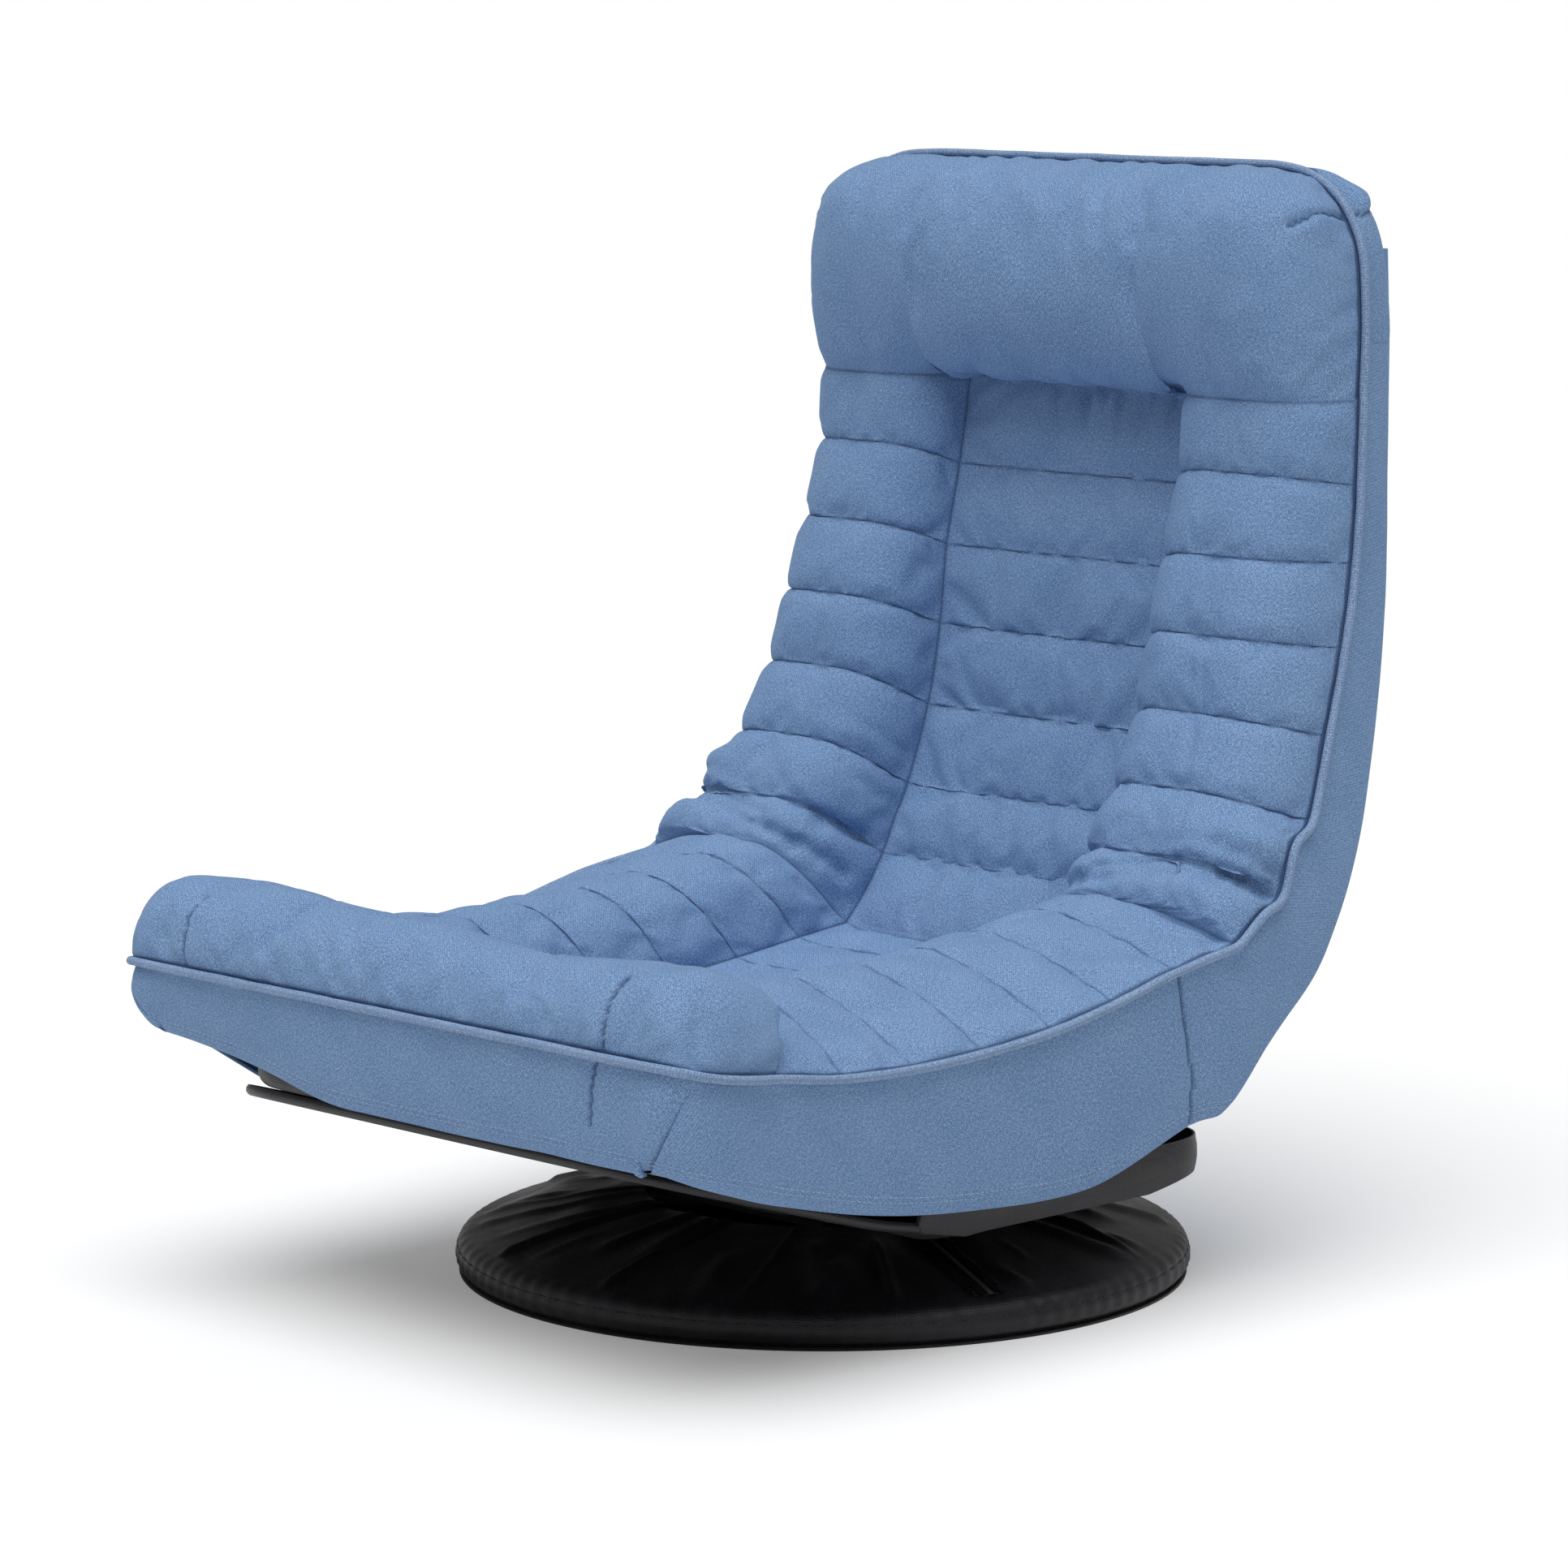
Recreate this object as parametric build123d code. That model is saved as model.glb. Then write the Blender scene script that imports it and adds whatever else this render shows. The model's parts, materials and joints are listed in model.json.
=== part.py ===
from build123d import *

# Swivel floor chair with a ratchet-reclining back, as separate pieces.
# Millimetres. +Z up, the origin is on the floor under the swivel axis,
# the chair faces -Y and the sitter's left side is +X.

import os
from math import asin, atan2, cos, degrees, hypot, radians, sin, tan

# ---------------------------------------------------------------- clearances
FIT = 0.3             # between a soft part and what carries it
FACE_GAP = 0.3        # between flat faces that turn on each other
PIN_FIT = 0.06        # radial running clearance of a pin in its bore

# ---------------------------------------------------------- frame and hinge
TUBE_D = 22.0         # frame tubes of the base, seat and back
TUBE_WALL = 1.5
TUBE_X = 170.0        # side tubes, from the centre plane
CROSS_D = 16.0        # cross tubes
HINGE_Y = 135.0       # recline axis
HINGE_Z = 185.0
ARM_T = 5.0           # toothed seat arm of the hinge
ARM_HEAD_R = 24.0
ARM_W = 18.0
CHEEK_T = 3.0         # the two plates of the back arm
CHEEK_R = 22.0
HINGE_PIN_R = 5.0
HINGE_HEAD_R = 9.0
HINGE_HEAD_T = 2.0
TUBE_START = 36.0     # where each tube begins, from the hinge axis
TANG_L = 28.0         # how far an arm reaches into its tube
TANG_W = 14.0         # width of the back arm's tang
TOOTH_PITCH = 15.0    # degrees between ratchet positions
TOOTH_DEPTH = 3.6
TOOTH_W = 5.0
NOTCH_GAP = 0.6       # a notch is this much larger than the nominal tooth
NOSE_GAP = 0.7        # and a pawl's nose this much smaller
BACK_STEPS = 5        # notches from upright to flat
FORWARD_STEPS = 1     # notches forward of upright
PAWL_ANGLE = 100.0    # where the pawl meets the teeth, seen from the hinge
PAWL_PIN_ANGLE = 72.0
PAWL_PIN_DIST = 40.0
PAWL_PIN_R = 3.0
PAWL_LIFT = 13.0      # degrees from engaged to clear of the teeth
PAWL_W = 8.0
SPRING_T = 0.8
CAVITY_R = 56.0       # room for the hinge inside the foam
CAVITY_W = 34.0

# --------------------------------------------------------------------- base
COVER_R = 232.0       # outside of the cloth over the base ring
COVER_T = 1.5
COVER_WALL_H = 18.0
COVER_SHOULDER = 6.0
COVER_TOP_Z = 50.0
COVER_HOLE_R = 112.0
SEAM_D = 2.4
SPOKE_W = 30.0
SPOKE_T = 5.0
SPOKE_COUNT = 4
HUB_Z = 46.0          # underside of the hub plate
HUB_SIZE = 150.0
HUB_T = 3.0
HUB_HOLE_R = 12.0
PLATE_T = 2.5         # swivel bearing plates
LOWER_PLATE_R = 72.0
UPPER_PLATE = 160.0
BALL_D = 7.0
BALL_COUNT = 18
RACE_R = 53.0
RACE_DEPTH = 1.0
BALL_FIT = 0.1
CAGE_T = 1.5
CAGE_W = 18.0
RIVET_R = 8.0
RIVET_WALL = 2.0
RIVET_HEAD_R = 13.0
RIVET_HEAD_T = 2.0
BOLT_D = 6.0          # bolts of the hub and of the rails
BOLT_HEAD_D = 12.0
BOLT_HEAD_H = 3.0
NUT_W = 10.0
NUT_H = 5.0
BOLT_HOLE_GAP = 0.25  # radial room of a bolt in its hole
HUB_BOLT_R = 34.0
RAIL_BOLT_X = 60.0
ZIP_ANGLE = -17.0     # where the zip lies on the base cover
ZIP_START_R = 122.0
ZIP_END_R = 219.0
ZIP_TAPE_W = 24.0
ZIP_TAPE_T = 0.8
ZIP_TOOTH_W = 4.0
ZIP_TOOTH_H = 1.4
SLIDER_W = 9.0
SLIDER_L = 11.0
SLIDER_H = 3.0
PULL_W = 5.0
PULL_L = 20.0
PULL_T = 1.0

# --------------------------------------------------------------------- seat
RAIL = 25.0           # square rails between the bearing and the side tubes
RAIL_WALL = 1.5
RAIL_Y = 60.0
FRAME_REAR_Y = 84.0   # rear bend of the seat frame
FRAME_FLAT_Y = -120.0  # where the seat frame starts to rise
FRAME_FRONT_Y = -330.0
FRAME_RISE = 55.0
REAR_BEND_R = 45.0
RISE_BEND_R = 120.0
CORNER_BEND_R = 50.0
SEAT_CROSS_Y = -215.0
SEAT_STRAP_SHARES = (0.15, 0.36, 0.64, 0.85)
STRAP_W = 40.0
STRAP_T = 1.6
STRAP_OVER = 6.0      # how far a strap passes the tube centre line
SEAT_HALF = 257.5     # outside of the side panels at the piping
SEAT_FRONT_Y = -358.0
HEM_HALF = 241.0      # outside of the side panels at the hem
HEM_FRONT_Y = -340.0
ENVELOPE_LOW_Z = 80.0
ENVELOPE_HIGH_Z = 205.0
ENVELOPE_TOP_Z = 290.0
PLAN_CORNER_R = 26.0
PANEL_T = 5.0         # cloth with its wadding
APRON_SEAM_Y = -318.0
PIPING_D = 5.0
PIPE_CORNER_R = 9.0    # top corners of the back's piping
CENTRE_HALF = 102.0   # half width of the sunk middle panels
CROWN_INSET = 25.0    # from a bolster's inner side to its crown
CROWN_OUTSET = 46.0   # from a bolster's outer side to its crown
SHOULDER_IN = 0.3     # share of the way from a bolster's side to its crown where it swells out,
SHOULDER_RISE = 0.7   # and the share of its height that it has reached there
ROLL_REAR_Y = -268.0
TRAY_T = 1.5
TRAY_HALF = 205.0
TRAY_REAR_Y = 150.0
TRAY_HOLE_R = 116.0
TRAY_TOP_Z = 96.0
TRAY_SIDE_RISE = 6.0
SEAT_CUT = 127.0      # the foam is split at the crease, seen from the hinge
BACK_CUT = 109.0
SHELL_CUT = 3.0       # the back's rigid cloth shell begins here

# --------------------------------------------------------------------- back
BACK_HALF = 222.0     # outside of the back's side panels
SHELL_T = 2.0
REAR_FOAM_T = 6.0
BACK_BEND = (222.0, 262.0)   # (y, z) of the lower bend of the back tube
BACK_UPPER = (258.0, 420.0)  # and of the upper one
BACK_TOP = (261.0, 625.0)    # centre of the top cross tube
BACK_BEND_R = 60.0
BACK_CORNER_R = 60.0
BACK_CROSS_SHARES = (0.425, 0.755)
BACK_STRAP_SHARES = (0.15, 0.34, 0.50, 0.68, 0.83)
HEAD_SEAM_Z = 547.0
COVER_SEAM_Z = 582.0

# Side profiles in (y, z), from the crease outwards.
SEAT_STATIONS = (
    # y, middle panel, bolster crown, piping
    (118.0, 190.0, 264.0, 238.0),
    (78.0, 187.0, 245.0, 222.0),
    (30.0, 181.5, 222.0, 215.0),
    (-30.0, 176.0, 214.0, 203.0),
    (-110.0, 171.5, 212.0, 190.0),
    (-190.0, 171.0, 224.0, 187.0),
    (-268.0, 172.0, 248.0, 193.0),
)
BACK_STATIONS = (
    # middle panel, bolster crown, piping
    ((130.0, 196.0), (75.0, 250.0), (112.0, 228.0)),
    ((155.0, 235.0), (99.0, 274.0), (152.0, 256.0)),
    ((178.0, 279.0), (126.0, 311.0), (186.0, 298.0)),
    ((197.0, 330.0), (148.0, 355.0), (207.0, 342.0)),
    ((208.0, 383.0), (160.0, 402.0), (226.0, 394.0)),
    ((214.0, 435.0), (176.0, 450.0), (237.0, 447.0)),
    ((226.0, 488.0), (190.0, 502.0), (243.0, 494.0)),
    ((236.0, HEAD_SEAM_Z), (196.0, HEAD_SEAM_Z), (243.0, HEAD_SEAM_Z)),
)
HEAD_PROFILE = (
    (196.0, HEAD_SEAM_Z + FIT), (184.0, 580.0), (179.0, 620.0),
    (186.0, 656.0), (208.0, 679.0), (240.0, 686.5), (246.0, 686.5),
)
ROLL_PROFILE = (
    (ROLL_REAR_Y - FIT, 178.0), (-276.0, 228.0), (-292.0, 256.0),
    (-318.0, 266.0), (-341.0, 252.0), (-356.0, 212.0),
)
REAR_PROFILE = (
    # outside of the back's rear cloth, from the hinge upwards
    (196.0, 188.0), (223.0, 219.0), (242.0, 257.0), (257.0, 300.0),
    (265.0, 338.0), (275.0, 389.0), (281.0, 440.0), (283.0, 496.0),
    (283.0, COVER_SEAM_Z), (280.0, 640.0), (274.0, 672.0), (262.0, 689.0),
    (248.5, 691.5),
)
FOLD_PROFILE = ((113.5, 118.5), (154.0, 153.0), (194.0, 186.0))
HEM_PROFILE = (
    (77.0, 113.0), (19.0, 91.0), (-39.0, 86.0), (-131.0, 90.0),
    (-221.0, 102.0), (-273.0, 117.0), (-366.0, 140.0),
)
PIPE_PROFILE = (
    (104.0, 224.0), (30.0, 215.5), (-80.0, 195.0), (-190.0, 187.0),
    (-275.0, 193.0), (SEAT_FRONT_Y - PIPING_D / 4, 209.0),
)
SIDE_SEAM = ((45.0, 205.0), (74.0, 133.0))
BACK_PIPE = (
    (146.0, 246.0), (190.0, 302.0), (226.0, 392.0), (245.0, 480.0),
    (246.0, 560.0), (243.0, 660.0),
)
BACK_PIPE_TOP = (245.0, 694.5)

# ------------------------------------------------------------ derived sizes
TUBE_R = TUBE_D / 2
RING_Z = COVER_T + TUBE_R
RING_R = COVER_R - COVER_T - FIT - TUBE_R
LOWER_PLATE_Z = HUB_Z + HUB_T
RACE_GAP = BALL_D - 2 * RACE_DEPTH + 2 * BALL_FIT
BALL_Z = LOWER_PLATE_Z + PLATE_T + RACE_GAP / 2
UPPER_PLATE_Z = LOWER_PLATE_Z + PLATE_T + RACE_GAP
RAIL_Z = UPPER_PLATE_Z + PLATE_T
FRAME_Z = RAIL_Z + RAIL + TUBE_R
TRAY_Z = RAIL_Z - FIT - TRAY_T / 2
PAD_LIFT = TUBE_R + STRAP_T + FIT
HINGE = (HINGE_Y, HINGE_Z)
PIPING_R = PIPING_D / 2
HEAD_HALF = BACK_HALF - SHELL_T - FIT
CHEEK_X = ARM_T / 2 + FACE_GAP
FOLD_HALF = SEAT_HALF - PANEL_T + FIT


# ---------------------------------------------------------------- helpers
def side_face(points):
    """Closed straight-sided face in the (y, z) plane."""
    return Plane.YZ * make_face(Polyline(*points, close=True))


def side_solid(points, x_from, x_to):
    """Side profile given thickness along X."""
    return Pos(x_from, 0, 0) * extrude(side_face(points), amount=x_to - x_from, dir=(1, 0, 0))


def shifted(points, distance):
    """Line moved sideways, to the left of its own direction, with mitred corners."""
    moved = []
    for index, (y, z) in enumerate(points):
        before = points[max(index - 1, 0)]
        after = points[min(index + 1, len(points) - 1)]
        first = atan2(z - before[1], y - before[0])
        second = atan2(after[1] - z, after[0] - y)
        if index == 0:
            first = second
        if index == len(points) - 1:
            second = first
        middle = (first + second) / 2
        if abs(first - second) > radians(180):
            middle += radians(180)
        reach = distance / cos((second - first) / 2) if abs(first - second) < radians(180) else distance
        moved.append((y - reach * sin(middle), z + reach * cos(middle)))
    return moved


def ribbon(points, thickness):
    """Outline of a sheet that lies to the left of a line."""
    return list(points) + shifted(points, thickness)[::-1]


def polar(angle, distance, centre=HINGE):
    """Point at an angle and distance from the hinge axis."""
    return (centre[0] + distance * cos(radians(angle)), centre[1] + distance * sin(radians(angle)))


def sector(start, end, reach=700.0, centre=HINGE, half=400.0):
    """Wedge about the hinge axis between two angles, right across the chair."""
    steps = int((end - start) / 45) + 1
    rim = [polar(start + (end - start) * i / steps, reach, centre) for i in range(steps + 1)]
    return side_solid([centre] + rim, -half, half)


def bent_wire(points, radii):
    """Straight runs through the points, joined by tangent arcs."""
    corners = [Vector(*p) for p in points]
    edges = []
    start = corners[0]
    for index in range(1, len(corners) - 1):
        corner = corners[index]
        into = (corner - corners[index - 1]).normalized()
        out = (corners[index + 1] - corner).normalized()
        turn = radians(into.get_angle(out))
        trim = radii[index - 1] * tan(turn / 2)
        arc_from = corner - into * trim
        arc_to = corner + out * trim
        inward = (out - into).normalized()
        bulge = radii[index - 1] * (1 / cos(turn / 2) - 1)
        edges.append(Edge.make_line(start, arc_from))
        edges.append(Edge.make_three_point_arc(arc_from, corner + inward * bulge, arc_to))
        start = arc_to
    edges.append(Edge.make_line(start, corners[-1]))
    return Wire(edges)


def swept(points, radii, radius):
    """Round bar along a bent route."""
    path = bent_wire(points, radii)
    heading = Vector(*points[1]) - Vector(*points[0])
    return sweep(Plane(origin=points[0], z_dir=heading) * Circle(radius), path=path)


def tube(points, radii, diameter, wall):
    """Round tube along a bent route."""
    return swept(points, radii, diameter / 2) - swept(points, radii, diameter / 2 - wall)


def mirrored(shape):
    """The same piece on the chair's other side."""
    return mirror(shape, about=Plane.YZ)


def along_x(y, z, radius, x_from, x_to):
    """Cylinder with its axis along X."""
    rod = extrude(Plane.YZ * Circle(radius), amount=x_to - x_from, dir=(1, 0, 0))
    return Pos(x_from, y, z) * rod


def upright(x, y, z, radius, height):
    """Cylinder standing at z."""
    return Pos(x, y, z + height / 2) * Cylinder(radius, height)


def hex_nut(x, y, z, bolt_d, width, height):
    """Plain hexagon nut standing at z."""
    blank = extrude(RegularPolygon(width / 2, 6, major_radius=False), amount=height)
    return Pos(x, y, z) * (blank - Pos(0, 0, height / 2) * Cylinder(bolt_d / 2, 2 * height))


def turned_about(shape, angle, y, z):
    """Turn a shape about an axis parallel to X."""
    return shape.rotate(Axis((0, y, z), (1, 0, 0)), angle)


def seat_envelope(inset):
    """Room inside the seat's outer cloth: narrower at the hem, with round front corners."""
    def outline(half, front, radius, height):
        depth = TRAY_REAR_Y + 60 - front
        plan = Rectangle(2 * half, depth)
        plan = fillet(plan.vertices().sort_by(Axis.Y)[:2], radius)
        return Pos(0, front + depth / 2, height) * plan

    radius = PLAN_CORNER_R - inset
    low = outline(HEM_HALF - inset, HEM_FRONT_Y + inset, radius, ENVELOPE_LOW_Z)
    high = outline(SEAT_HALF - inset, SEAT_FRONT_Y + inset, radius, ENVELOPE_HIGH_Z)
    tapered = loft([low, high], ruled=True)
    return tapered + extrude(high, amount=ENVELOPE_TOP_Z - ENVELOPE_HIGH_Z)


# ------------------------------------------------------------- frame routes
FRAME_LINE = (
    (FRAME_REAR_Y, FRAME_Z), (FRAME_FLAT_Y, FRAME_Z), (FRAME_FRONT_Y, FRAME_Z + FRAME_RISE),
)
SEAT_ARM_ANGLE = degrees(atan2(FRAME_Z - HINGE_Z, FRAME_REAR_Y - HINGE_Y))
BACK_ARM_ANGLE = degrees(atan2(BACK_BEND[1] - HINGE_Z, BACK_BEND[0] - HINGE_Y))
BACK_LINE = (HINGE, BACK_BEND, BACK_UPPER, BACK_TOP)


def seat_route():
    """Seat frame centre line: left hinge, side, front, side, right hinge."""
    side = [polar(SEAT_ARM_ANGLE, TUBE_START)] + list(FRAME_LINE)
    left = [(TUBE_X, y, z) for y, z in side]
    right = [(-TUBE_X, y, z) for y, z in side]
    bends = [REAR_BEND_R, RISE_BEND_R, CORNER_BEND_R]
    return left + right[::-1], bends + bends[::-1]


def back_route():
    """Back frame centre line: up one side, across the top and down the other."""
    side = [polar(BACK_ARM_ANGLE, TUBE_START), BACK_BEND, BACK_UPPER, BACK_TOP]
    left = [(TUBE_X, y, z) for y, z in side]
    right = [(-TUBE_X, y, z) for y, z in side]
    bends = [BACK_BEND_R, BACK_BEND_R, BACK_CORNER_R]
    return left + right[::-1], bends + bends[::-1]


SEAT_ROUTE = seat_route()
BACK_ROUTE = back_route()
SEAT_TUBE_ROOM = swept(*SEAT_ROUTE, TUBE_R + FIT)
BACK_TUBE_ROOM = swept(*BACK_ROUTE, TUBE_R + FIT)
HINGE_ROOM = along_x(HINGE_Y, HINGE_Z, CAVITY_R, TUBE_X - CAVITY_W / 2, TUBE_X + CAVITY_W / 2)
HINGE_ROOM = HINGE_ROOM + mirrored(HINGE_ROOM)


# --------------------------------------------------------------------- base
def base_bottom_cloth():
    """Round cloth that closes the base cover underneath and rests on the floor."""
    return upright(0, 0, 0, COVER_R - COVER_T - FIT, COVER_T)


def base_ring():
    """Round tube hoop that the chair stands on."""
    torus = Torus(RING_R, TUBE_R) - Torus(RING_R, TUBE_R - TUBE_WALL)
    return Pos(0, 0, RING_Z) * torus


def base_spokes():
    """Flat bars bent up from the hoop to the hub."""
    inner = HUB_SIZE / 2 - 15
    line = ((RING_R, RING_Z - SPOKE_T / 2), (RING_R - 30, RING_Z), (HUB_SIZE / 2 + 30, HUB_Z - SPOKE_T),
            (inner, HUB_Z - SPOKE_T))
    bar = side_solid(ribbon(line, -SPOKE_T), -SPOKE_W / 2, SPOKE_W / 2)
    bar = bar - Pos(0, 0, RING_Z) * Torus(RING_R, TUBE_R)
    bar = bar.solids().sort_by(SortBy.VOLUME)[-1]
    return [bar.rotate(Axis.Z, 45 + 360 / SPOKE_COUNT * i) for i in range(SPOKE_COUNT)]


def hub_bolt_places():
    """Centres of the bolts that hold the lower swivel plate to the hub."""
    return [(HUB_BOLT_R * cos(radians(90 * i)), HUB_BOLT_R * sin(radians(90 * i))) for i in range(4)]


def rail_bolt_places():
    """Centres of the bolts that hold the upper swivel plate to the rails."""
    return [(x, y) for x in (-RAIL_BOLT_X, RAIL_BOLT_X) for y in (-RAIL_Y, RAIL_Y)]


def bolt_holes(places, z, height):
    """Drill for a set of bolts."""
    return [upright(x, y, z, BOLT_D / 2 + BOLT_HOLE_GAP, height) for x, y in places]


def hub_plate():
    """Square steel plate welded on the spokes."""
    plate = Pos(0, 0, HUB_Z + HUB_T / 2) * Box(HUB_SIZE, HUB_SIZE, HUB_T)
    plate = plate - upright(0, 0, HUB_Z - 1, HUB_HOLE_R, HUB_T + 2)
    return plate - bolt_holes(hub_bolt_places(), HUB_Z - 1, HUB_T + 2)


def race_groove():
    """Pressed groove that the balls run in."""
    return Pos(0, 0, BALL_Z) * Torus(RACE_R, BALL_D / 2 + BALL_FIT)


def swivel_lower_plate():
    """Fixed round plate of the swivel bearing."""
    plate = upright(0, 0, LOWER_PLATE_Z, LOWER_PLATE_R, PLATE_T)
    plate = plate - upright(0, 0, LOWER_PLATE_Z - 1, RIVET_R, PLATE_T + 2)
    return plate - race_groove() - bolt_holes(hub_bolt_places(), LOWER_PLATE_Z - 1, PLATE_T + 2)


def swivel_upper_plate():
    """Turning square plate of the swivel bearing."""
    plate = Pos(0, 0, UPPER_PLATE_Z + PLATE_T / 2) * Box(UPPER_PLATE, UPPER_PLATE, PLATE_T)
    plate = plate - upright(0, 0, UPPER_PLATE_Z - 1, RIVET_R + PIN_FIT, PLATE_T + 2)
    return plate - race_groove() - bolt_holes(rail_bolt_places(), UPPER_PLATE_Z - 1, PLATE_T + 2)


def swivel_rivet():
    """Hollow rivet that holds the two swivel plates together and is their axle."""
    shank_h = UPPER_PLATE_Z + PLATE_T + FACE_GAP - HUB_Z
    shank = upright(0, 0, HUB_Z, RIVET_R, shank_h)
    head = upright(0, 0, HUB_Z + shank_h, RIVET_HEAD_R, RIVET_HEAD_T)
    flange = upright(0, 0, HUB_Z, HUB_HOLE_R, HUB_T)
    bore = upright(0, 0, HUB_Z - 1, RIVET_R - RIVET_WALL, shank_h + RIVET_HEAD_T + 2)
    return shank + head + flange - bore


def ball_places():
    """Centres of the bearing balls."""
    step = 360 / BALL_COUNT
    return [(RACE_R * cos(radians(step * i)), RACE_R * sin(radians(step * i))) for i in range(BALL_COUNT)]


def bearing_balls():
    """Steel balls of the swivel."""
    return [Pos(x, y, BALL_Z) * Sphere(BALL_D / 2) for x, y in ball_places()]


def ball_cage():
    """Ring that keeps the balls apart."""
    ring = upright(0, 0, BALL_Z - CAGE_T / 2, RACE_R + CAGE_W / 2, CAGE_T)
    ring = ring - upright(0, 0, BALL_Z - CAGE_T, RACE_R - CAGE_W / 2, 2 * CAGE_T)
    return ring - [upright(x, y, BALL_Z - CAGE_T, BALL_D / 2 + BALL_FIT, 2 * CAGE_T) for x, y in ball_places()]


def hub_bolts():
    """Low-headed bolts of the hub."""
    reach = LOWER_PLATE_Z + PLATE_T - (HUB_Z - NUT_H)
    solids = []
    for x, y in hub_bolt_places():
        shank = upright(x, y, HUB_Z - NUT_H, BOLT_D / 2, reach)
        solids.append(shank + upright(x, y, LOWER_PLATE_Z + PLATE_T, BOLT_HEAD_D / 2, BOLT_HEAD_H))
    return solids


def hub_nuts():
    """Nuts under the hub plate."""
    return [hex_nut(x, y, HUB_Z - NUT_H, BOLT_D, NUT_W, NUT_H) for x, y in hub_bolt_places()]


def cover_line():
    """Outside of the base cover, as (radius, height), from the floor to its hole."""
    return ((COVER_R, 0.0), (COVER_R, COVER_WALL_H), (COVER_R - COVER_SHOULDER, COVER_WALL_H + COVER_SHOULDER),
            (COVER_HOLE_R, COVER_TOP_Z))


def base_cover():
    """Black cloth cover drawn over the hoop and spokes."""
    face = Plane.XZ * make_face(Polyline(*ribbon(cover_line(), COVER_T), close=True))
    return revolve(face, Axis.Z)


def base_cover_seam():
    """Corded seam round the base cover."""
    return Pos(0, 0, COVER_WALL_H - SEAM_D / 2) * Torus(COVER_R + SEAM_D / 2, SEAM_D / 2)


def cover_slope():
    """Downward slope of the base cover's top, in degrees."""
    line = cover_line()
    return degrees(atan2(line[3][1] - line[2][1], line[2][0] - line[3][0]))


def on_zip(shape, along, lift):
    """Lay a shape on the base cover's zip, so far down its slope from the zip's inner end."""
    slope = cover_slope()
    start_z = COVER_TOP_Z - (ZIP_START_R - COVER_HOLE_R) * tan(radians(slope))
    laid = Pos(ZIP_START_R, 0, start_z) * Rot(0, slope, 0) * Pos(along, 0, lift) * shape
    return laid.rotate(Axis.Z, ZIP_ANGLE)


ZIP_LENGTH = (ZIP_END_R - ZIP_START_R) / cos(radians(cover_slope()))
ZIP_TAPE_LIFT = FIT / 2 + COVER_R - COVER_R * cos(asin(ZIP_TAPE_W / 2 / COVER_R))


def zip_tape():
    """Woven tape of the zip, sewn on the cover."""
    return on_zip(Box(ZIP_LENGTH, ZIP_TAPE_W, ZIP_TAPE_T), ZIP_LENGTH / 2, ZIP_TAPE_LIFT + ZIP_TAPE_T / 2)


def zip_teeth():
    """Closed coil of the zip."""
    lift = ZIP_TAPE_LIFT + ZIP_TAPE_T + ZIP_TOOTH_H / 2
    return on_zip(Box(ZIP_LENGTH, ZIP_TOOTH_W, ZIP_TOOTH_H), ZIP_LENGTH / 2, lift)


def zip_slider():
    """Slider that straddles the coil."""
    gap = 2 * FIT
    body = Pos(0, 0, SLIDER_H / 2) * Box(SLIDER_L, SLIDER_W, SLIDER_H)
    channel = Pos(0, 0, (ZIP_TOOTH_H + gap) / 2) * Box(2 * SLIDER_L, ZIP_TOOTH_W + 2 * gap, ZIP_TOOTH_H + gap)
    return on_zip(body - channel, SLIDER_L / 2, ZIP_TAPE_LIFT + ZIP_TAPE_T + FIT)


def zip_pull():
    """Flat tab of the slider."""
    tab = Pos(PULL_L / 2, 0, PULL_T / 2) * Box(PULL_L, PULL_W, PULL_T)
    tab = tab - Pos(PULL_L - PULL_W / 2, 0, 0) * Cylinder(PULL_W / 4, 4 * PULL_T)
    return on_zip(tab, SLIDER_L / 2, ZIP_TAPE_LIFT + ZIP_TAPE_T + FIT + SLIDER_H)


# --------------------------------------------------------------------- seat
def mount_rails():
    """Two square tubes across the chair, bolted on the swivel."""
    half = TUBE_X + TUBE_R
    solids = []
    for y in (-RAIL_Y, RAIL_Y):
        rail = Pos(0, y, RAIL_Z + RAIL / 2) * (Box(2 * half, RAIL, RAIL)
                                                - Box(3 * half, RAIL - 2 * RAIL_WALL, RAIL - 2 * RAIL_WALL))
        solids.append(rail - bolt_holes(rail_bolt_places(), RAIL_Z - 1, RAIL_WALL + 2))
    return solids


def rail_bolts():
    """Bolts from under the upper swivel plate into the rails."""
    solids = []
    for x, y in rail_bolt_places():
        shank = upright(x, y, UPPER_PLATE_Z, BOLT_D / 2, PLATE_T + RAIL_WALL + NUT_H)
        solids.append(shank + upright(x, y, UPPER_PLATE_Z - BOLT_HEAD_H, BOLT_HEAD_D / 2, BOLT_HEAD_H))
    return solids


def rail_nuts():
    """Nuts inside the rails."""
    z = RAIL_Z + RAIL_WALL
    return [hex_nut(x, y, z, BOLT_D, NUT_W, NUT_H) for x, y in rail_bolt_places()]


def seat_frame():
    """One bent tube round the seat."""
    return tube(*SEAT_ROUTE, TUBE_D, TUBE_WALL)


def line_point(line, share):
    """Point and slope in degrees at a share of a line's length."""
    runs = [hypot(b[0] - a[0], b[1] - a[1]) for a, b in zip(line, line[1:])]
    left = share * sum(runs)
    for (a, b), run in zip(zip(line, line[1:]), runs):
        if left <= run:
            break
        left -= run
    left = min(left, run)
    y = a[0] + (b[0] - a[0]) * left / run
    z = a[1] + (b[1] - a[1]) * left / run
    return y, z, degrees(atan2(b[1] - a[1], b[0] - a[0]))


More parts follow.
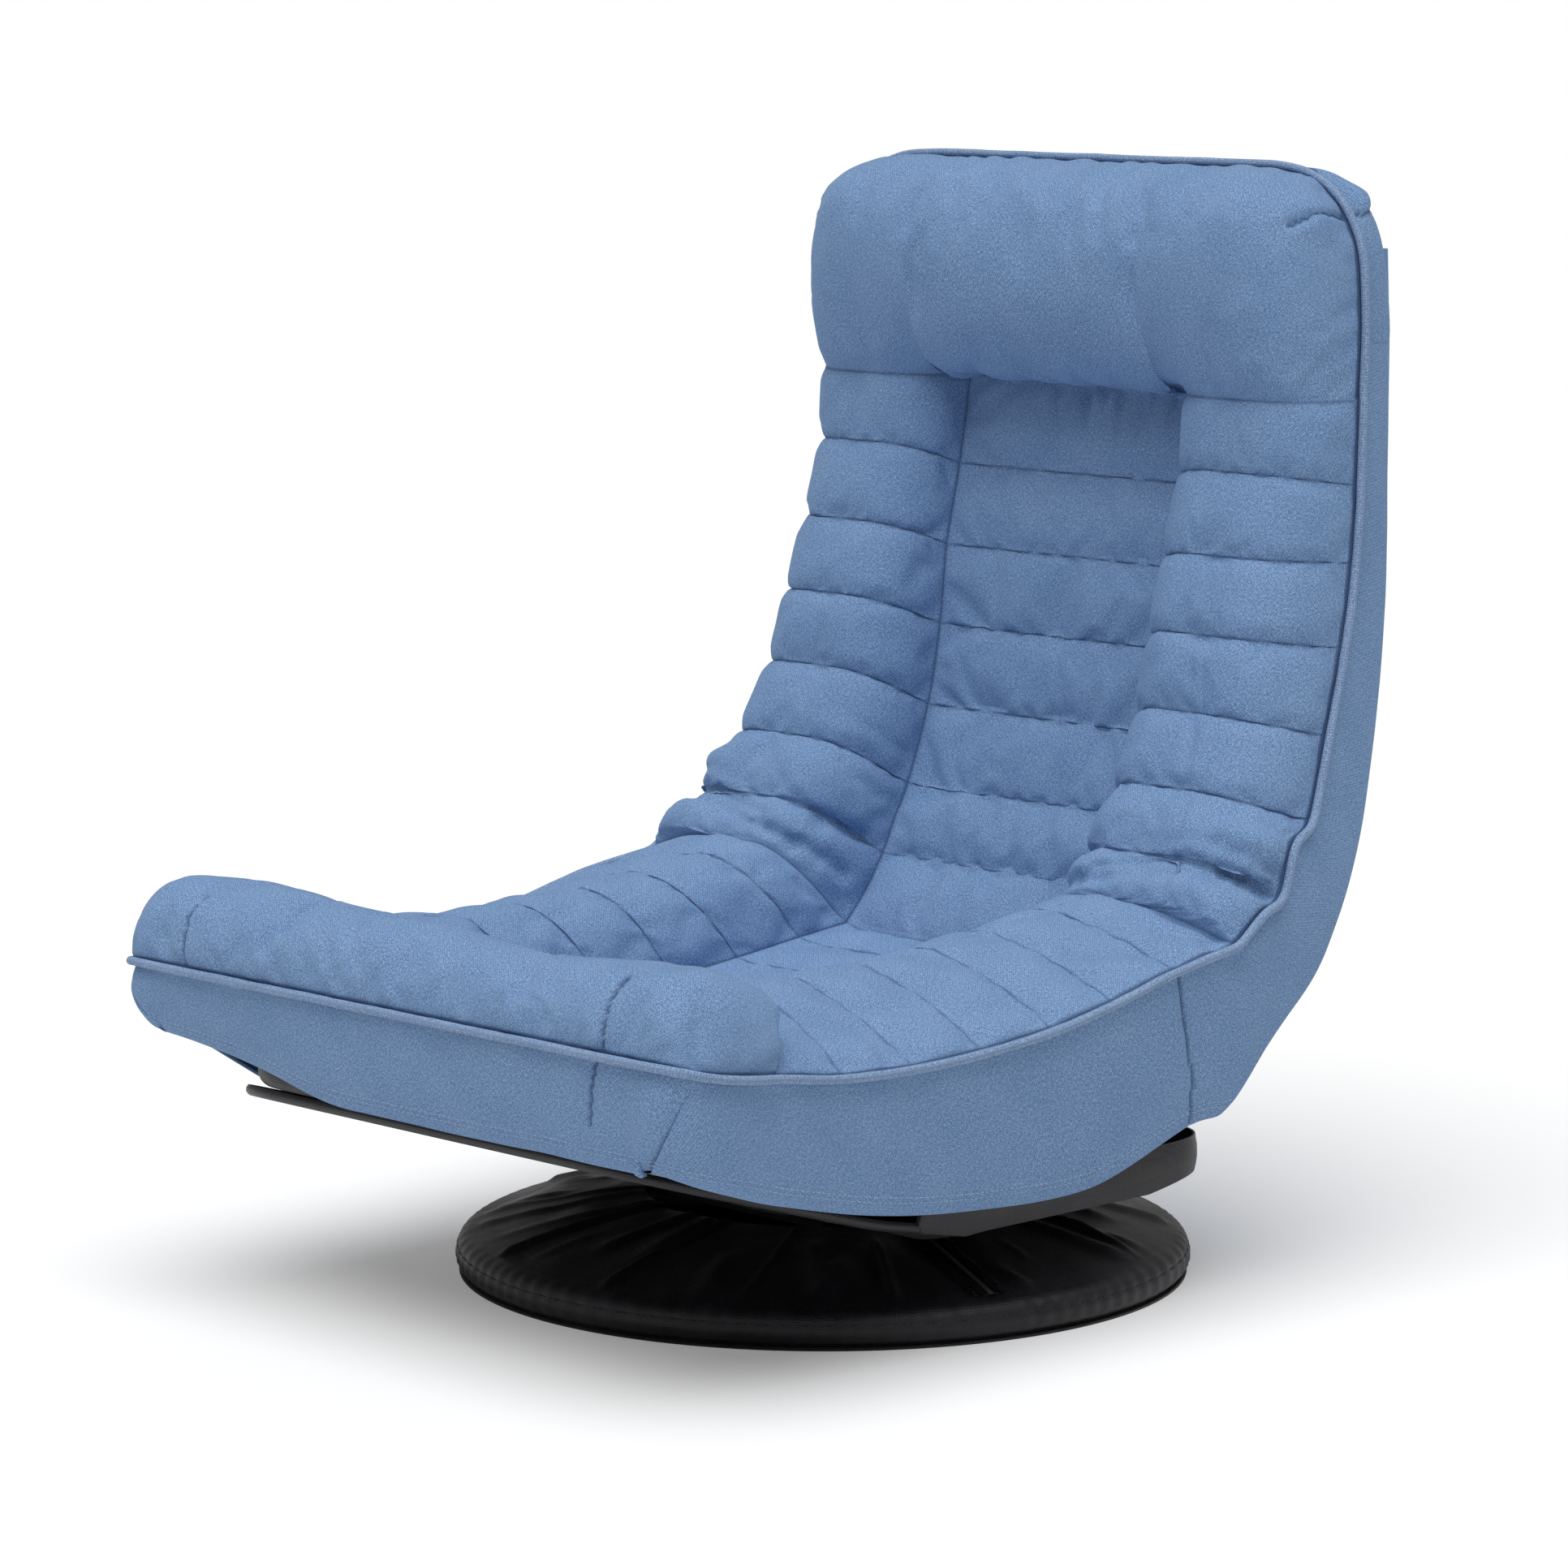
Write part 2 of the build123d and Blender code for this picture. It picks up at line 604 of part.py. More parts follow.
def straps(line, shares, side):
    """Webbing straps on the side tubes; side is +1 to lie left of the line and -1 right."""
    length = 2 * (TUBE_X + STRAP_OVER)
    solids = []
    for share in shares:
        y, z, slope = line_point(line, share)
        strap = Pos(0, 0, side * (TUBE_R + STRAP_T / 2)) * Box(length, STRAP_W, STRAP_T)
        solids.append(Pos(0, y, z) * (Rot(slope, 0, 0) * strap))
    return solids


def cross_tubes(line, shares, room):
    """Straight tubes between the side tubes, notched to meet them."""
    solids = []
    for share in shares:
        y, z, _ = line_point(line, share)
        rod = along_x(y, z, CROSS_D / 2, -TUBE_X, TUBE_X) - along_x(y, z, CROSS_D / 2 - TUBE_WALL, -TUBE_X, TUBE_X)
        pieces = (rod - room).solids()
        solids.append(pieces.sort_by(SortBy.VOLUME)[-1])
    return solids




def seat_webbing():
    """Elastic straps under the seat foam."""
    return straps(FRAME_LINE, SEAT_STRAP_SHARES, -1)


def seat_cross_tube():
    """Tube that stiffens the front of the seat frame."""
    run = FRAME_LINE[1][0] - FRAME_LINE[2][0]
    share = 1 - (SEAT_CROSS_Y - FRAME_LINE[2][0]) / run * hypot(run, FRAME_RISE) / (
        FRAME_LINE[0][0] - FRAME_LINE[1][0] + hypot(run, FRAME_RISE))
    return cross_tubes(FRAME_LINE, (share,), swept(*SEAT_ROUTE, TUBE_R))


def seat_floor_line():
    """Underside of the seat foam, from the rear forwards."""
    rise_end = (FRAME_FRONT_Y - 2 * TUBE_R, FRAME_Z + FRAME_RISE * (1 + 2 * TUBE_R / (FRAME_FLAT_Y - FRAME_FRONT_Y)))
    line = shifted(((FRAME_REAR_Y, FRAME_Z), (FRAME_FLAT_Y, FRAME_Z), rise_end), -PAD_LIFT)
    return line


def floor_height(y):
    """Height of the seat foam's underside at a depth."""
    line = seat_floor_line()
    if y >= line[1][0]:
        return line[1][1]
    share = (line[1][0] - y) / (line[1][0] - line[2][0])
    return line[1][1] + share * (line[2][1] - line[1][1])


def seat_center_pad():
    """Foam of the sunk middle of the seat."""
    top = [(y, middle) for y, middle, _, _ in SEAT_STATIONS]
    low_front = (ROLL_REAR_Y, floor_height(ROLL_REAR_Y))
    low_rear = (FRAME_REAR_Y - 10, floor_height(FRAME_REAR_Y))
    heel = (FRAME_REAR_Y + 18, floor_height(FRAME_REAR_Y) + 18)
    return side_solid(top + [low_front, seat_floor_line()[1], low_rear, heel], -CENTRE_HALF, CENTRE_HALF)


def lofted(sections):
    """Solid through side profiles at several distances from the centre plane."""
    faces = [Pos(x, 0, 0) * side_face(points) for x, points in sections]
    return loft(faces, ruled=True)


def part_way(start, end, share):
    """Line at a share of the way between two lines of as many points."""
    return [(a[0] + (b[0] - a[0]) * share, a[1] + (b[1] - a[1]) * share) for a, b in zip(start, end)]


def swelled(inner, outer, middle, crown, edge):
    """Solid of a bolster with round shoulders, through its side profiles from its inner to its outer side."""
    inset, outset = SHOULDER_IN * CROWN_INSET, SHOULDER_IN * CROWN_OUTSET
    return lofted(((inner, middle), (inner + inset, part_way(middle, crown, SHOULDER_RISE)),
                   (inner + CROWN_INSET, crown), (outer - CROWN_OUTSET, crown),
                   (outer - outset, part_way(edge, crown, SHOULDER_RISE)), (outer, edge)))


def seat_bolster():
    """Raised foam along the left of the seat."""
    outer = SEAT_HALF - PANEL_T - FIT
    inner = CENTRE_HALF + FIT
    floor = [(y, floor_height(y)) for y in (ROLL_REAR_Y, FRAME_FLAT_Y, FRAME_REAR_Y - 10)]
    floor.append((FRAME_REAR_Y + 18, floor_height(FRAME_REAR_Y) + 18))
    middle = [(y, low) for y, low, _, _ in SEAT_STATIONS]
    crown = [(y, high) for y, _, high, _ in SEAT_STATIONS]
    edge = [(y, pipe + PIPING_R) for y, _, _, pipe in SEAT_STATIONS]
    foam = swelled(inner, outer, middle + floor, crown + floor, edge + floor)
    foam = foam & seat_envelope(PANEL_T + FIT)
    return foam - sector(-90, SEAT_CUT) - SEAT_TUBE_ROOM - HINGE_ROOM


def front_roll():
    """Thick foam roll across the front of the seat."""
    step_y = FRAME_FRONT_Y - TUBE_R - FIT
    step_z = floor_height(step_y)
    floor = [(step_y, step_z - 8), (step_y, step_z), (ROLL_REAR_Y - FIT, floor_height(ROLL_REAR_Y))]
    front_low = (HEM_FRONT_Y - 10, step_z - 8)
    half = SEAT_HALF - PANEL_T - FIT
    roll = side_solid(list(ROLL_PROFILE) + [front_low] + floor, -half, half)
    return (roll & seat_envelope(PANEL_T + FIT)) - SEAT_TUBE_ROOM


def seat_skirt():
    """Cloth wall all round the front and sides of the seat, from hem to piping."""
    wall = seat_envelope(0) - seat_envelope(PANEL_T)
    top = shifted(PIPE_PROFILE, PIPING_R + FIT)
    far = (HEM_PROFILE[-1][0], top[-1][1])
    region = [SIDE_SEAM[1]] + list(HEM_PROFILE[1:]) + [far]
    region += [p for p in top[::-1] if p[0] < SIDE_SEAM[0][0]] + [SIDE_SEAM[0]]
    return wall & side_solid(region, -2 * SEAT_HALF, 2 * SEAT_HALF)


def seat_tray():
    """Black dust cloth under the seat, with its hole over the swivel."""
    front_y = HEM_FRONT_Y + PANEL_T + 4
    front_z = FRAME_Z + FRAME_RISE - TUBE_R - 6
    flat = RAIL_Y + RAIL / 2 + 8
    lower = ((front_y, front_z), (-flat, TRAY_Z - TRAY_T / 2), (flat, TRAY_Z - TRAY_T / 2),
             (TRAY_REAR_Y, TRAY_Z + 9), (TRAY_REAR_Y, TRAY_TOP_Z))
    sheet = side_solid(ribbon(lower, TRAY_T), -TRAY_HALF, TRAY_HALF)
    rim = [(flat, FRAME_Z), (FRAME_FLAT_Y, FRAME_Z), (front_y, front_z + TRAY_SIDE_RISE)]
    wall = side_solid(list(lower) + rim, TRAY_HALF - TRAY_T, TRAY_HALF)
    tray = sheet + wall + mirrored(wall)
    return tray - upright(0, 0, 0, TRAY_HOLE_R, HINGE_Z)


def seat_piping():
    """Corded edge round the seat, along the sides and across the front."""
    x = SEAT_HALF - PIPING_R / 2
    side = [(x, y, z) for y, z in PIPE_PROFILE]
    bends = [220.0] * (len(PIPE_PROFILE) - 2) + [PLAN_CORNER_R]
    other = [(-a, b, c) for a, b, c in side[::-1]]
    return swept(side + other, bends + bends[::-1], PIPING_R)


# --------------------------------------------------------------- the hinges
def notch_angles():
    """Directions of the ratchet notches, seen from the hinge."""
    return [PAWL_ANGLE + TOOTH_PITCH * step for step in range(-BACK_STEPS, FORWARD_STEPS + 1)]


def tooth_wedge(angle, grow):
    """Wedge that fills a notch, or the nose of a pawl when it is made smaller."""
    half = TOOTH_W / 2 + grow
    root = ARM_HEAD_R - TOOTH_DEPTH - grow
    points = []
    for side, radius in ((-0.45, root), (0.45, root), (1.0, ARM_HEAD_R + 2), (-1.0, ARM_HEAD_R + 2)):
        offset = side * half
        across = (-sin(radians(angle)) * offset, cos(radians(angle)) * offset)
        base = polar(angle, radius)
        points.append((base[0] + across[0], base[1] + across[1]))
    return points


def bar_outline(angle, start, end, width):
    """Straight bar pointing away from the hinge."""
    turn = radians(angle)
    across = (-sin(turn) * width / 2, cos(turn) * width / 2)
    near = polar(angle, start)
    far = polar(angle, end)
    return [(near[0] + across[0], near[1] + across[1]), (far[0] + across[0], far[1] + across[1]),
            (far[0] - across[0], far[1] - across[1]), (near[0] - across[0], near[1] - across[1])]


def seat_arm():
    """Toothed arm that plugs into the seat tube."""
    x_from, x_to = TUBE_X - ARM_T / 2, TUBE_X + ARM_T / 2
    arm = along_x(HINGE_Y, HINGE_Z, ARM_HEAD_R, x_from, x_to)
    arm = arm + side_solid(bar_outline(SEAT_ARM_ANGLE, 0, TUBE_START + TANG_L, ARM_W), x_from, x_to)
    for angle in notch_angles():
        arm = arm - side_solid(tooth_wedge(angle, NOTCH_GAP), x_from - 1, x_to + 1)
    return arm - along_x(HINGE_Y, HINGE_Z, HINGE_PIN_R + PIN_FIT, x_from - 1, x_to + 1)


def pawl_pin_place():
    """Axis of the pawl, in (y, z)."""
    return polar(PAWL_PIN_ANGLE, PAWL_PIN_DIST)


def spring_line():
    """Inner side of the pawl's leaf spring, from its ear towards the nose."""
    pin = pawl_pin_place()
    nose = polar(PAWL_ANGLE, ARM_HEAD_R)
    run = atan2(nose[1] - pin[1], nose[0] - pin[0]) - radians(PAWL_LIFT)
    places = ((-PAWL_W / 2, PAWL_W), (0.75 * PAWL_W, 1.08 * PAWL_W), (1.9 * PAWL_W, 1.2 * PAWL_W))
    return [(pin[0] + far * cos(run) + off * sin(run), pin[1] + far * sin(run) - off * cos(run))
            for far, off in places]


def back_arm():
    """Forked arm that plugs into the back tube and carries the pawl."""
    outer = CHEEK_X + CHEEK_T
    pin = pawl_pin_place()
    cheek = along_x(HINGE_Y, HINGE_Z, CHEEK_R, -outer, outer)
    cheek = cheek + along_x(*pin, PAWL_W, -outer, outer) + along_x(*spring_line()[0], PAWL_W / 2, -outer, outer)
    cheek = cheek + side_solid(bar_outline(BACK_ARM_ANGLE, 0, TUBE_START - FIT, 2 * PAWL_W + 6), -outer, outer)
    web = [HINGE, polar(BACK_ARM_ANGLE, TUBE_START - FIT), pin]
    cheek = cheek + side_solid(web, -outer, outer)
    slot = along_x(HINGE_Y, HINGE_Z, ARM_HEAD_R + 3, -CHEEK_X, CHEEK_X)
    slot = slot + along_x(*pin, PAWL_W + 6, -CHEEK_X, CHEEK_X)
    slot = slot + side_solid([HINGE, polar(PAWL_PIN_ANGLE - 10, 80), polar(PAWL_ANGLE + 20, 80)], -CHEEK_X, CHEEK_X)
    tang = side_solid(bar_outline(BACK_ARM_ANGLE, TUBE_START - 8, TUBE_START + TANG_L, TANG_W), -outer + 1, outer - 1)
    fork = cheek - slot + (tang - slot)
    fork = fork - along_x(HINGE_Y, HINGE_Z, HINGE_PIN_R, -2 * outer, 2 * outer)
    fork = fork - along_x(*pin, PAWL_PIN_R, -2 * outer, 2 * outer)
    return Pos(TUBE_X, 0, 0) * fork


def headed_pin(y, z, radius, head_r):
    """Riveted pin through the forked arm."""
    outer = CHEEK_X + CHEEK_T
    pin = along_x(y, z, radius, -outer - HINGE_HEAD_T, outer + HINGE_HEAD_T)
    for x in (-outer - HINGE_HEAD_T, outer):
        pin = pin + along_x(y, z, head_r, x, x + HINGE_HEAD_T)
    return Pos(TUBE_X, 0, 0) * pin


def hinge_pin():
    """Axle of the recline hinge."""
    return headed_pin(HINGE_Y, HINGE_Z, HINGE_PIN_R, HINGE_HEAD_R)


def pawl_pin():
    """Axle of the pawl."""
    return headed_pin(*pawl_pin_place(), PAWL_PIN_R, PAWL_PIN_R + 2)


def pawl():
    """Ratchet pawl, stored lifted clear of the teeth."""
    pin = pawl_pin_place()
    shoulder = polar(PAWL_ANGLE, ARM_HEAD_R + 1.6)
    run = atan2(shoulder[1] - pin[1], shoulder[0] - pin[0])
    across = (-sin(run) * PAWL_W / 2, cos(run) * PAWL_W / 2)
    near = [(pin[0] + across[0], pin[1] + across[1]), (pin[0] - across[0], pin[1] - across[1])]
    nose = tooth_wedge(PAWL_ANGLE, -NOSE_GAP)
    lever = near + [polar(PAWL_ANGLE + 2, ARM_HEAD_R + 2 + PAWL_W)] + [nose[2], nose[3]]
    half = ARM_T / 2
    hull = make_hull(Polyline(*lever, close=True).edges())
    body = Pos(-half, 0, 0) * extrude(Plane.YZ * hull, amount=2 * half, dir=(1, 0, 0))
    body = body + side_solid(nose, -half, half) + along_x(*pin, PAWL_W - 1, -half, half)
    body = body - along_x(*pin, PAWL_PIN_R + PIN_FIT, -2 * half, 2 * half)
    return Pos(TUBE_X, 0, 0) * turned_about(body, -PAWL_LIFT, *pin)


def pawl_spring():
    """Leaf spring that presses on the back of the pawl."""
    return side_solid(ribbon(spring_line(), -SPRING_T), TUBE_X - ARM_T / 2, TUBE_X + ARM_T / 2)


# --------------------------------------------------------------------- back
def back_frame():
    """One bent tube up the sides and over the top of the back."""
    return tube(*BACK_ROUTE, TUBE_D, TUBE_WALL)


def back_cross_tubes():
    """Tubes that stiffen the back frame."""
    return cross_tubes(BACK_LINE, BACK_CROSS_SHARES, swept(*BACK_ROUTE, TUBE_R))


def back_webbing():
    """Elastic straps behind the back foam."""
    return straps(BACK_LINE, BACK_STRAP_SHARES, 1)


def back_rear_line():
    """Rear of the back foam, where it lies on the straps, from the hinge upwards."""
    return shifted(BACK_LINE, PAD_LIFT)


def rear_depth(z):
    """Depth of the back foam's rear at a height."""
    line = back_rear_line()
    for low, high in zip(line, line[1:]):
        if z <= high[1]:
            break
    return low[0] + (high[0] - low[0]) * (z - low[1]) / (high[1] - low[1])


def back_foam_sections(lower):
    """Rear and front edges of the back foam at one distance from the centre plane."""
    front = [station[lower] for station in BACK_STATIONS]
    rear = back_rear_line()
    close = [(rear_depth(HEAD_SEAM_Z), HEAD_SEAM_Z), rear[2], rear[1], (rear[0][0] + 12, rear[0][1] + 10)]
    return front + close


def back_cuts():
    """Everything the back foam leaves room for."""
    return sector(BACK_CUT, 360 + SHELL_CUT)


def back_center_pad():
    """Foam of the sunk middle of the back."""
    foam = side_solid(back_foam_sections(0), -CENTRE_HALF, CENTRE_HALF)
    return foam - back_cuts()


def back_bolster():
    """Raised foam along the left of the back."""
    outer = BACK_HALF - SHELL_T - FIT
    inner = CENTRE_HALF + FIT
    foam = swelled(inner, outer, *(back_foam_sections(lower) for lower in range(3)))
    return foam - back_cuts() - BACK_TUBE_ROOM - HINGE_ROOM


def headrest_pad():
    """Thick foam across the top of the back."""
    rear_low = (rear_depth(HEAD_SEAM_Z), HEAD_SEAM_Z + FIT)
    rear_high = (HEAD_PROFILE[-1][0], HEAD_PROFILE[-1][1])
    points = list(HEAD_PROFILE[:-1]) + [rear_high, rear_low]
    return side_solid(points, -HEAD_HALF, HEAD_HALF) - BACK_TUBE_ROOM


def back_rear_foam():
    """Thin foam between the frame and the rear cloth."""
    line = [p for p in shifted(REAR_PROFILE, SHELL_T + FIT) if p[1] < BACK_TOP[1] + 2 * TUBE_R]
    half = BACK_HALF - SHELL_T - 2 * FIT
    foam = side_solid(ribbon(line, REAR_FOAM_T), -half, half)
    return foam - BACK_TUBE_ROOM - sector(-177, SHELL_CUT + 1)


def back_panel_lower():
    """Rear cloth from the hinge to the cross seam."""
    line = [p for p in REAR_PROFILE if p[1] <= COVER_SEAM_Z]
    half = BACK_HALF - SHELL_T
    return side_solid(ribbon(line, SHELL_T), -half, half) - sector(-177, SHELL_CUT)


def back_panel_upper():
    """Rear cloth from the cross seam over the top to the piping."""
    seam = COVER_SEAM_Z + FIT
    line = [(REAR_PROFILE[8][0], seam)] + [p for p in REAR_PROFILE if p[1] > seam]
    half = BACK_HALF - SHELL_T
    return side_solid(ribbon(line, SHELL_T), -half, half)


def back_side_panel():
    """Side cloth between the piping and the rear cloth, on the left."""
    front = shifted(BACK_PIPE, -PIPING_R - FIT)
    region = list(REAR_PROFILE[:-1]) + [(REAR_PROFILE[-1][0], REAR_PROFILE[-2][1])] + front[::-1]
    panel = side_solid(region, BACK_HALF - SHELL_T, BACK_HALF)
    return panel - sector(BACK_CUT, 360 + SHELL_CUT)


def back_piping():
    """Corded edge up the sides and over the top of the back."""
    x = BACK_HALF + PIPING_R / 5
    side = [(x, y, z) for y, z in BACK_PIPE] + [(x, *BACK_PIPE_TOP)]
    bends = [180.0] * (len(BACK_PIPE) - 1) + [PIPE_CORNER_R]
    other = [(-a, b, c) for a, b, c in side[::-1]]
    return swept(side + other, bends + bends[::-1], PIPING_R)


def rear_fold_panel():
    """Cloth that wraps the hinge behind and beside it and folds as the back reclines."""
    wrap = side_solid(ribbon(FOLD_PROFILE, SHELL_T), -FOLD_HALF, FOLD_HALF)
    region = [(SIDE_SEAM[0][0] + 3, SIDE_SEAM[0][1]), (SIDE_SEAM[1][0] + 3, SIDE_SEAM[1][1])]
    region += [(80, 116)] + list(FOLD_PROFILE) + [(176, 216), (146, 240), (104, 216)]
    cheek = side_solid(region, FOLD_HALF, FOLD_HALF + SHELL_T)
    return wrap + cheek + mirrored(cheek)


# ------------------------------------------------------------------ writing
def save(name, shape):
    """Write one node; a list or a group of pieces becomes one file of separate solids."""
    solids = []
    for item in (shape if isinstance(shape, (list, tuple)) else [shape]):
        solids.extend(item.solids())
    export_step(solids[0] if len(solids) == 1 else Compound(children=solids), f"parts/{name}.step")


def both_sides(name, shape):
    """Write a left piece and its mirror image."""
    save(f"{name}_left", shape)
    save(f"{name}_right", mirrored(shape))


def main():
    """Write every node of the chair."""
    os.makedirs("parts", exist_ok=True)
    for build in (base_bottom_cloth, base_ring, base_spokes, hub_plate, swivel_lower_plate,
                  swivel_upper_plate, swivel_rivet, bearing_balls, ball_cage, hub_bolts, hub_nuts,
                  base_cover, base_cover_seam, zip_tape, zip_teeth, zip_slider, zip_pull,
                  mount_rails, rail_bolts, rail_nuts, seat_frame, seat_cross_tube, seat_webbing,
                  seat_center_pad, front_roll, seat_tray, seat_piping, back_frame, back_cross_tubes,
                  back_webbing, back_center_pad, headrest_pad, back_rear_foam, back_panel_lower,
                  back_panel_upper, back_piping, rear_fold_panel):
        save(build.__name__, build())
    for build in (seat_bolster, seat_arm, back_arm, hinge_pin, pawl_pin, pawl, pawl_spring,
                  back_bolster, back_side_panel):
        both_sides(build.__name__, build())
    skirt = seat_skirt()
    front = Pos(0, APRON_SEAM_Y - 100, HINGE_Z) * Box(3 * SEAT_HALF, 200, 2 * HINGE_Z)
    rear = Pos(0, APRON_SEAM_Y + FIT + 300, HINGE_Z) * Box(3 * SEAT_HALF, 600, 2 * HINGE_Z)
    left = Pos(SEAT_HALF, 0, HINGE_Z) * Box(2 * SEAT_HALF, 1000, 2 * HINGE_Z)
    save("front_apron", skirt & front)
    both_sides("seat_side_panel", skirt & rear & left)


main()
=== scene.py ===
"""Looks of a legless swivel floor chair: quilted cloth cushions, piping, a black base cover and its fittings.

Everything is in metres in the part's own frame: +Z up, the sitter faces -Y and the sitter's left is +X.
"""

import json
import logging
import math
import sys
from dataclasses import dataclass, field
from enum import Enum
from typing import Any, Sequence

import bpy
import numpy as np
from mathutils import Matrix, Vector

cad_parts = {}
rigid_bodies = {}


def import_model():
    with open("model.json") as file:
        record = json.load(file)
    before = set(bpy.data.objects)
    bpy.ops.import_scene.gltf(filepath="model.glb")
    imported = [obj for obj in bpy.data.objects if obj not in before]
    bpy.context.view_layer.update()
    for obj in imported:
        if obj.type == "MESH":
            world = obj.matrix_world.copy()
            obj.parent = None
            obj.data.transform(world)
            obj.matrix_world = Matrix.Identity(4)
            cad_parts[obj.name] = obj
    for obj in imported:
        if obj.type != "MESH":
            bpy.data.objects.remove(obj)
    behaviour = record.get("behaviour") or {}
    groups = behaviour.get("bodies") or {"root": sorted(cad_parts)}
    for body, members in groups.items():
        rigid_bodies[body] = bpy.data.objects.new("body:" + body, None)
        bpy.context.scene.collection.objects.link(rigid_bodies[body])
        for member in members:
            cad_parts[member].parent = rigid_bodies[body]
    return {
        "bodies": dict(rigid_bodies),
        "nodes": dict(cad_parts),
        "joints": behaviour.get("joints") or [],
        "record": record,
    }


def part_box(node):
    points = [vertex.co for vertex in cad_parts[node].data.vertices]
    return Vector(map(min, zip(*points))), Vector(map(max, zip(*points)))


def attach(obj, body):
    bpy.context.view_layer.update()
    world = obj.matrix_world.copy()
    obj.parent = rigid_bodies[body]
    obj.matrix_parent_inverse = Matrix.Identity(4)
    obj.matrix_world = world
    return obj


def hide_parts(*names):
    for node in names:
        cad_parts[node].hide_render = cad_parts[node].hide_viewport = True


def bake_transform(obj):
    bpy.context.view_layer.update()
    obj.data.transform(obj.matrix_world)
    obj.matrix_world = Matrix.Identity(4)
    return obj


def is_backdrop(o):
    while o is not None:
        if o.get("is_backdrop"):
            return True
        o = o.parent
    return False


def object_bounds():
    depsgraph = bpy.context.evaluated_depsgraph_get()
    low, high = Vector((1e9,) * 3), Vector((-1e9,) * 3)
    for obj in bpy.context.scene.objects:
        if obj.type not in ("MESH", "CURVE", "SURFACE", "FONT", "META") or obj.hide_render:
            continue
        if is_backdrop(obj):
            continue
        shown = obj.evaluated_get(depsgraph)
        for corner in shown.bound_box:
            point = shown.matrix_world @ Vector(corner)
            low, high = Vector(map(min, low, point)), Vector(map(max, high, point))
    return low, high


LOG = logging.getLogger("floor_chair")
MM = 0.001
CLOTH_UV = "cloth"
# Point layer that darkens the cloth's colour: the needle lines' pressed yarn, and painted shade in the
# valleys of seams, darts and the piping.
SEAM_LINE_AND_SHADE_LAYER = "seam"

# Distances from a seam at which a stuffed face needs its closest points.
SEAM_STEPS = np.array([0.0, 1.0, 2.4, 4.6]) * MM

# Painted shade: width and fade of the darkened band in the valley that the piping's cord leaves beside it.
VALLEY_WIDTH = 2.7 * MM
VALLEY_FADE = 1.1 * MM


class Side(Enum):
    """Side of the chair, as the sitter names it, with the sign of its X."""

    LEFT = 1.0
    RIGHT = -1.0

    @property
    def word(self) -> str:
        """Name of the side as the nodes spell it."""
        return self.name.lower()


class Slot(Enum):
    """Material slots of the part's record."""

    BLUE_FABRIC = "blue_fabric"
    BLUE_PIPING = "blue_piping"
    BLACK_CLOTH = "black_cloth"
    PAINTED_STEEL = "painted_steel"
    ZINC_STEEL = "zinc_steel"
    FASTENER_STEEL = "fastener_steel"
    BLACK_PLASTIC = "black_plastic"
    ZIP_METAL = "zip_metal"
    WEBBING = "webbing"


# ------------------------------------------------------------------ curves and grids
def smooth(values: Any, low: float, high: float) -> np.ndarray:
    """Ease from 0 at low to 1 at high.

    Args:
        values: One number or an array.
        low: Where the result leaves 0.
        high: Where it reaches 1; it may lie below low.

    Returns:
        The eased values, from 0 to 1.
    """
    share = np.clip((np.asarray(values, float) - low) / (high - low), 0.0, 1.0)
    return share * share * (3 - 2 * share)


def hump(values: Any, centre: float, width: float) -> np.ndarray:
    """Bell of height 1 at centre that has faded at about twice width."""
    return np.exp(-(((np.asarray(values, float) - centre) / width) ** 2))


def through(points: Any, places: Any) -> np.ndarray:
    """Smooth curve through points.

    Args:
        points: Points in order, one per row.
        places: Fractional point numbers, from 0 to the last point's number.

    Returns:
        The curve's points at those places.
    """
    line = np.asarray(points, float)
    ends = np.vstack([2 * line[0] - line[1], line, 2 * line[-1] - line[-2]])
    places = np.clip(np.asarray(places, float), 0, len(line) - 1 - 1e-9)
    number = places.astype(int)
    share = (places - number)[:, None]
    before, here, after, beyond = (ends[number + step] for step in range(4))
    return 0.5 * (
        2 * here
        + (after - before) * share
        + (2 * before - 5 * here + 4 * after - beyond) * share**2
        + (3 * here - before - 3 * after + beyond) * share**3
    )


def lengths_along(line: np.ndarray) -> np.ndarray:
    """Distance of each point of a line from its start."""
    steps = np.linalg.norm(np.diff(line, axis=0), axis=1)
    return np.concatenate([[0.0], np.cumsum(steps)])


def at_shares(line: np.ndarray, shares: np.ndarray) -> np.ndarray:
    """Points of a polyline at given shares of its length."""
    travelled = lengths_along(line)
    wanted = np.asarray(shares) * travelled[-1]
    return np.stack([np.interp(wanted, travelled, line[:, axis]) for axis in range(line.shape[1])], axis=1)


def softened(line: np.ndarray) -> np.ndarray:
    """Line whose inner points lie between their neighbours, for rounder kinks."""
    line = line.copy()
    line[1:-1] = (line[:-2] + 2 * line[1:-1] + line[2:]) / 4
    return line


def even_line(points: Any, step: float) -> np.ndarray:
    """Smooth curve through points, cut into steps of equal length."""
    dense = through(points, np.linspace(0, len(points) - 1, 24 * len(points)))
    count = max(2, round(lengths_along(dense)[-1] / step))
    return at_shares(dense, np.linspace(0, 1, count + 1))


def sewn_shares(length: float, step: float, fine: bool = True) -> np.ndarray:
    """Places across a span that crowd towards the seams at its two ends.

    Args:
        length: Length of the span in metres.
        step: Spacing away from the seams.
        fine: Whether the ends are seams that need close places.

    Returns:
        Shares of the span from 0 to 1.
    """
    near = SEAM_STEPS / length if fine else np.array([0.0])
    count = max(2, round(length * (1 - 2 * near[-1]) / step))
    middle = np.linspace(near[-1], 1 - near[-1], count + 1)[1:-1]
    return np.concatenate([near, middle, 1 - near[::-1]])


def unit(vectors: np.ndarray) -> np.ndarray:
    """Vectors scaled to length 1."""
    return vectors / np.maximum(np.linalg.norm(vectors, axis=-1, keepdims=True), 1e-12)


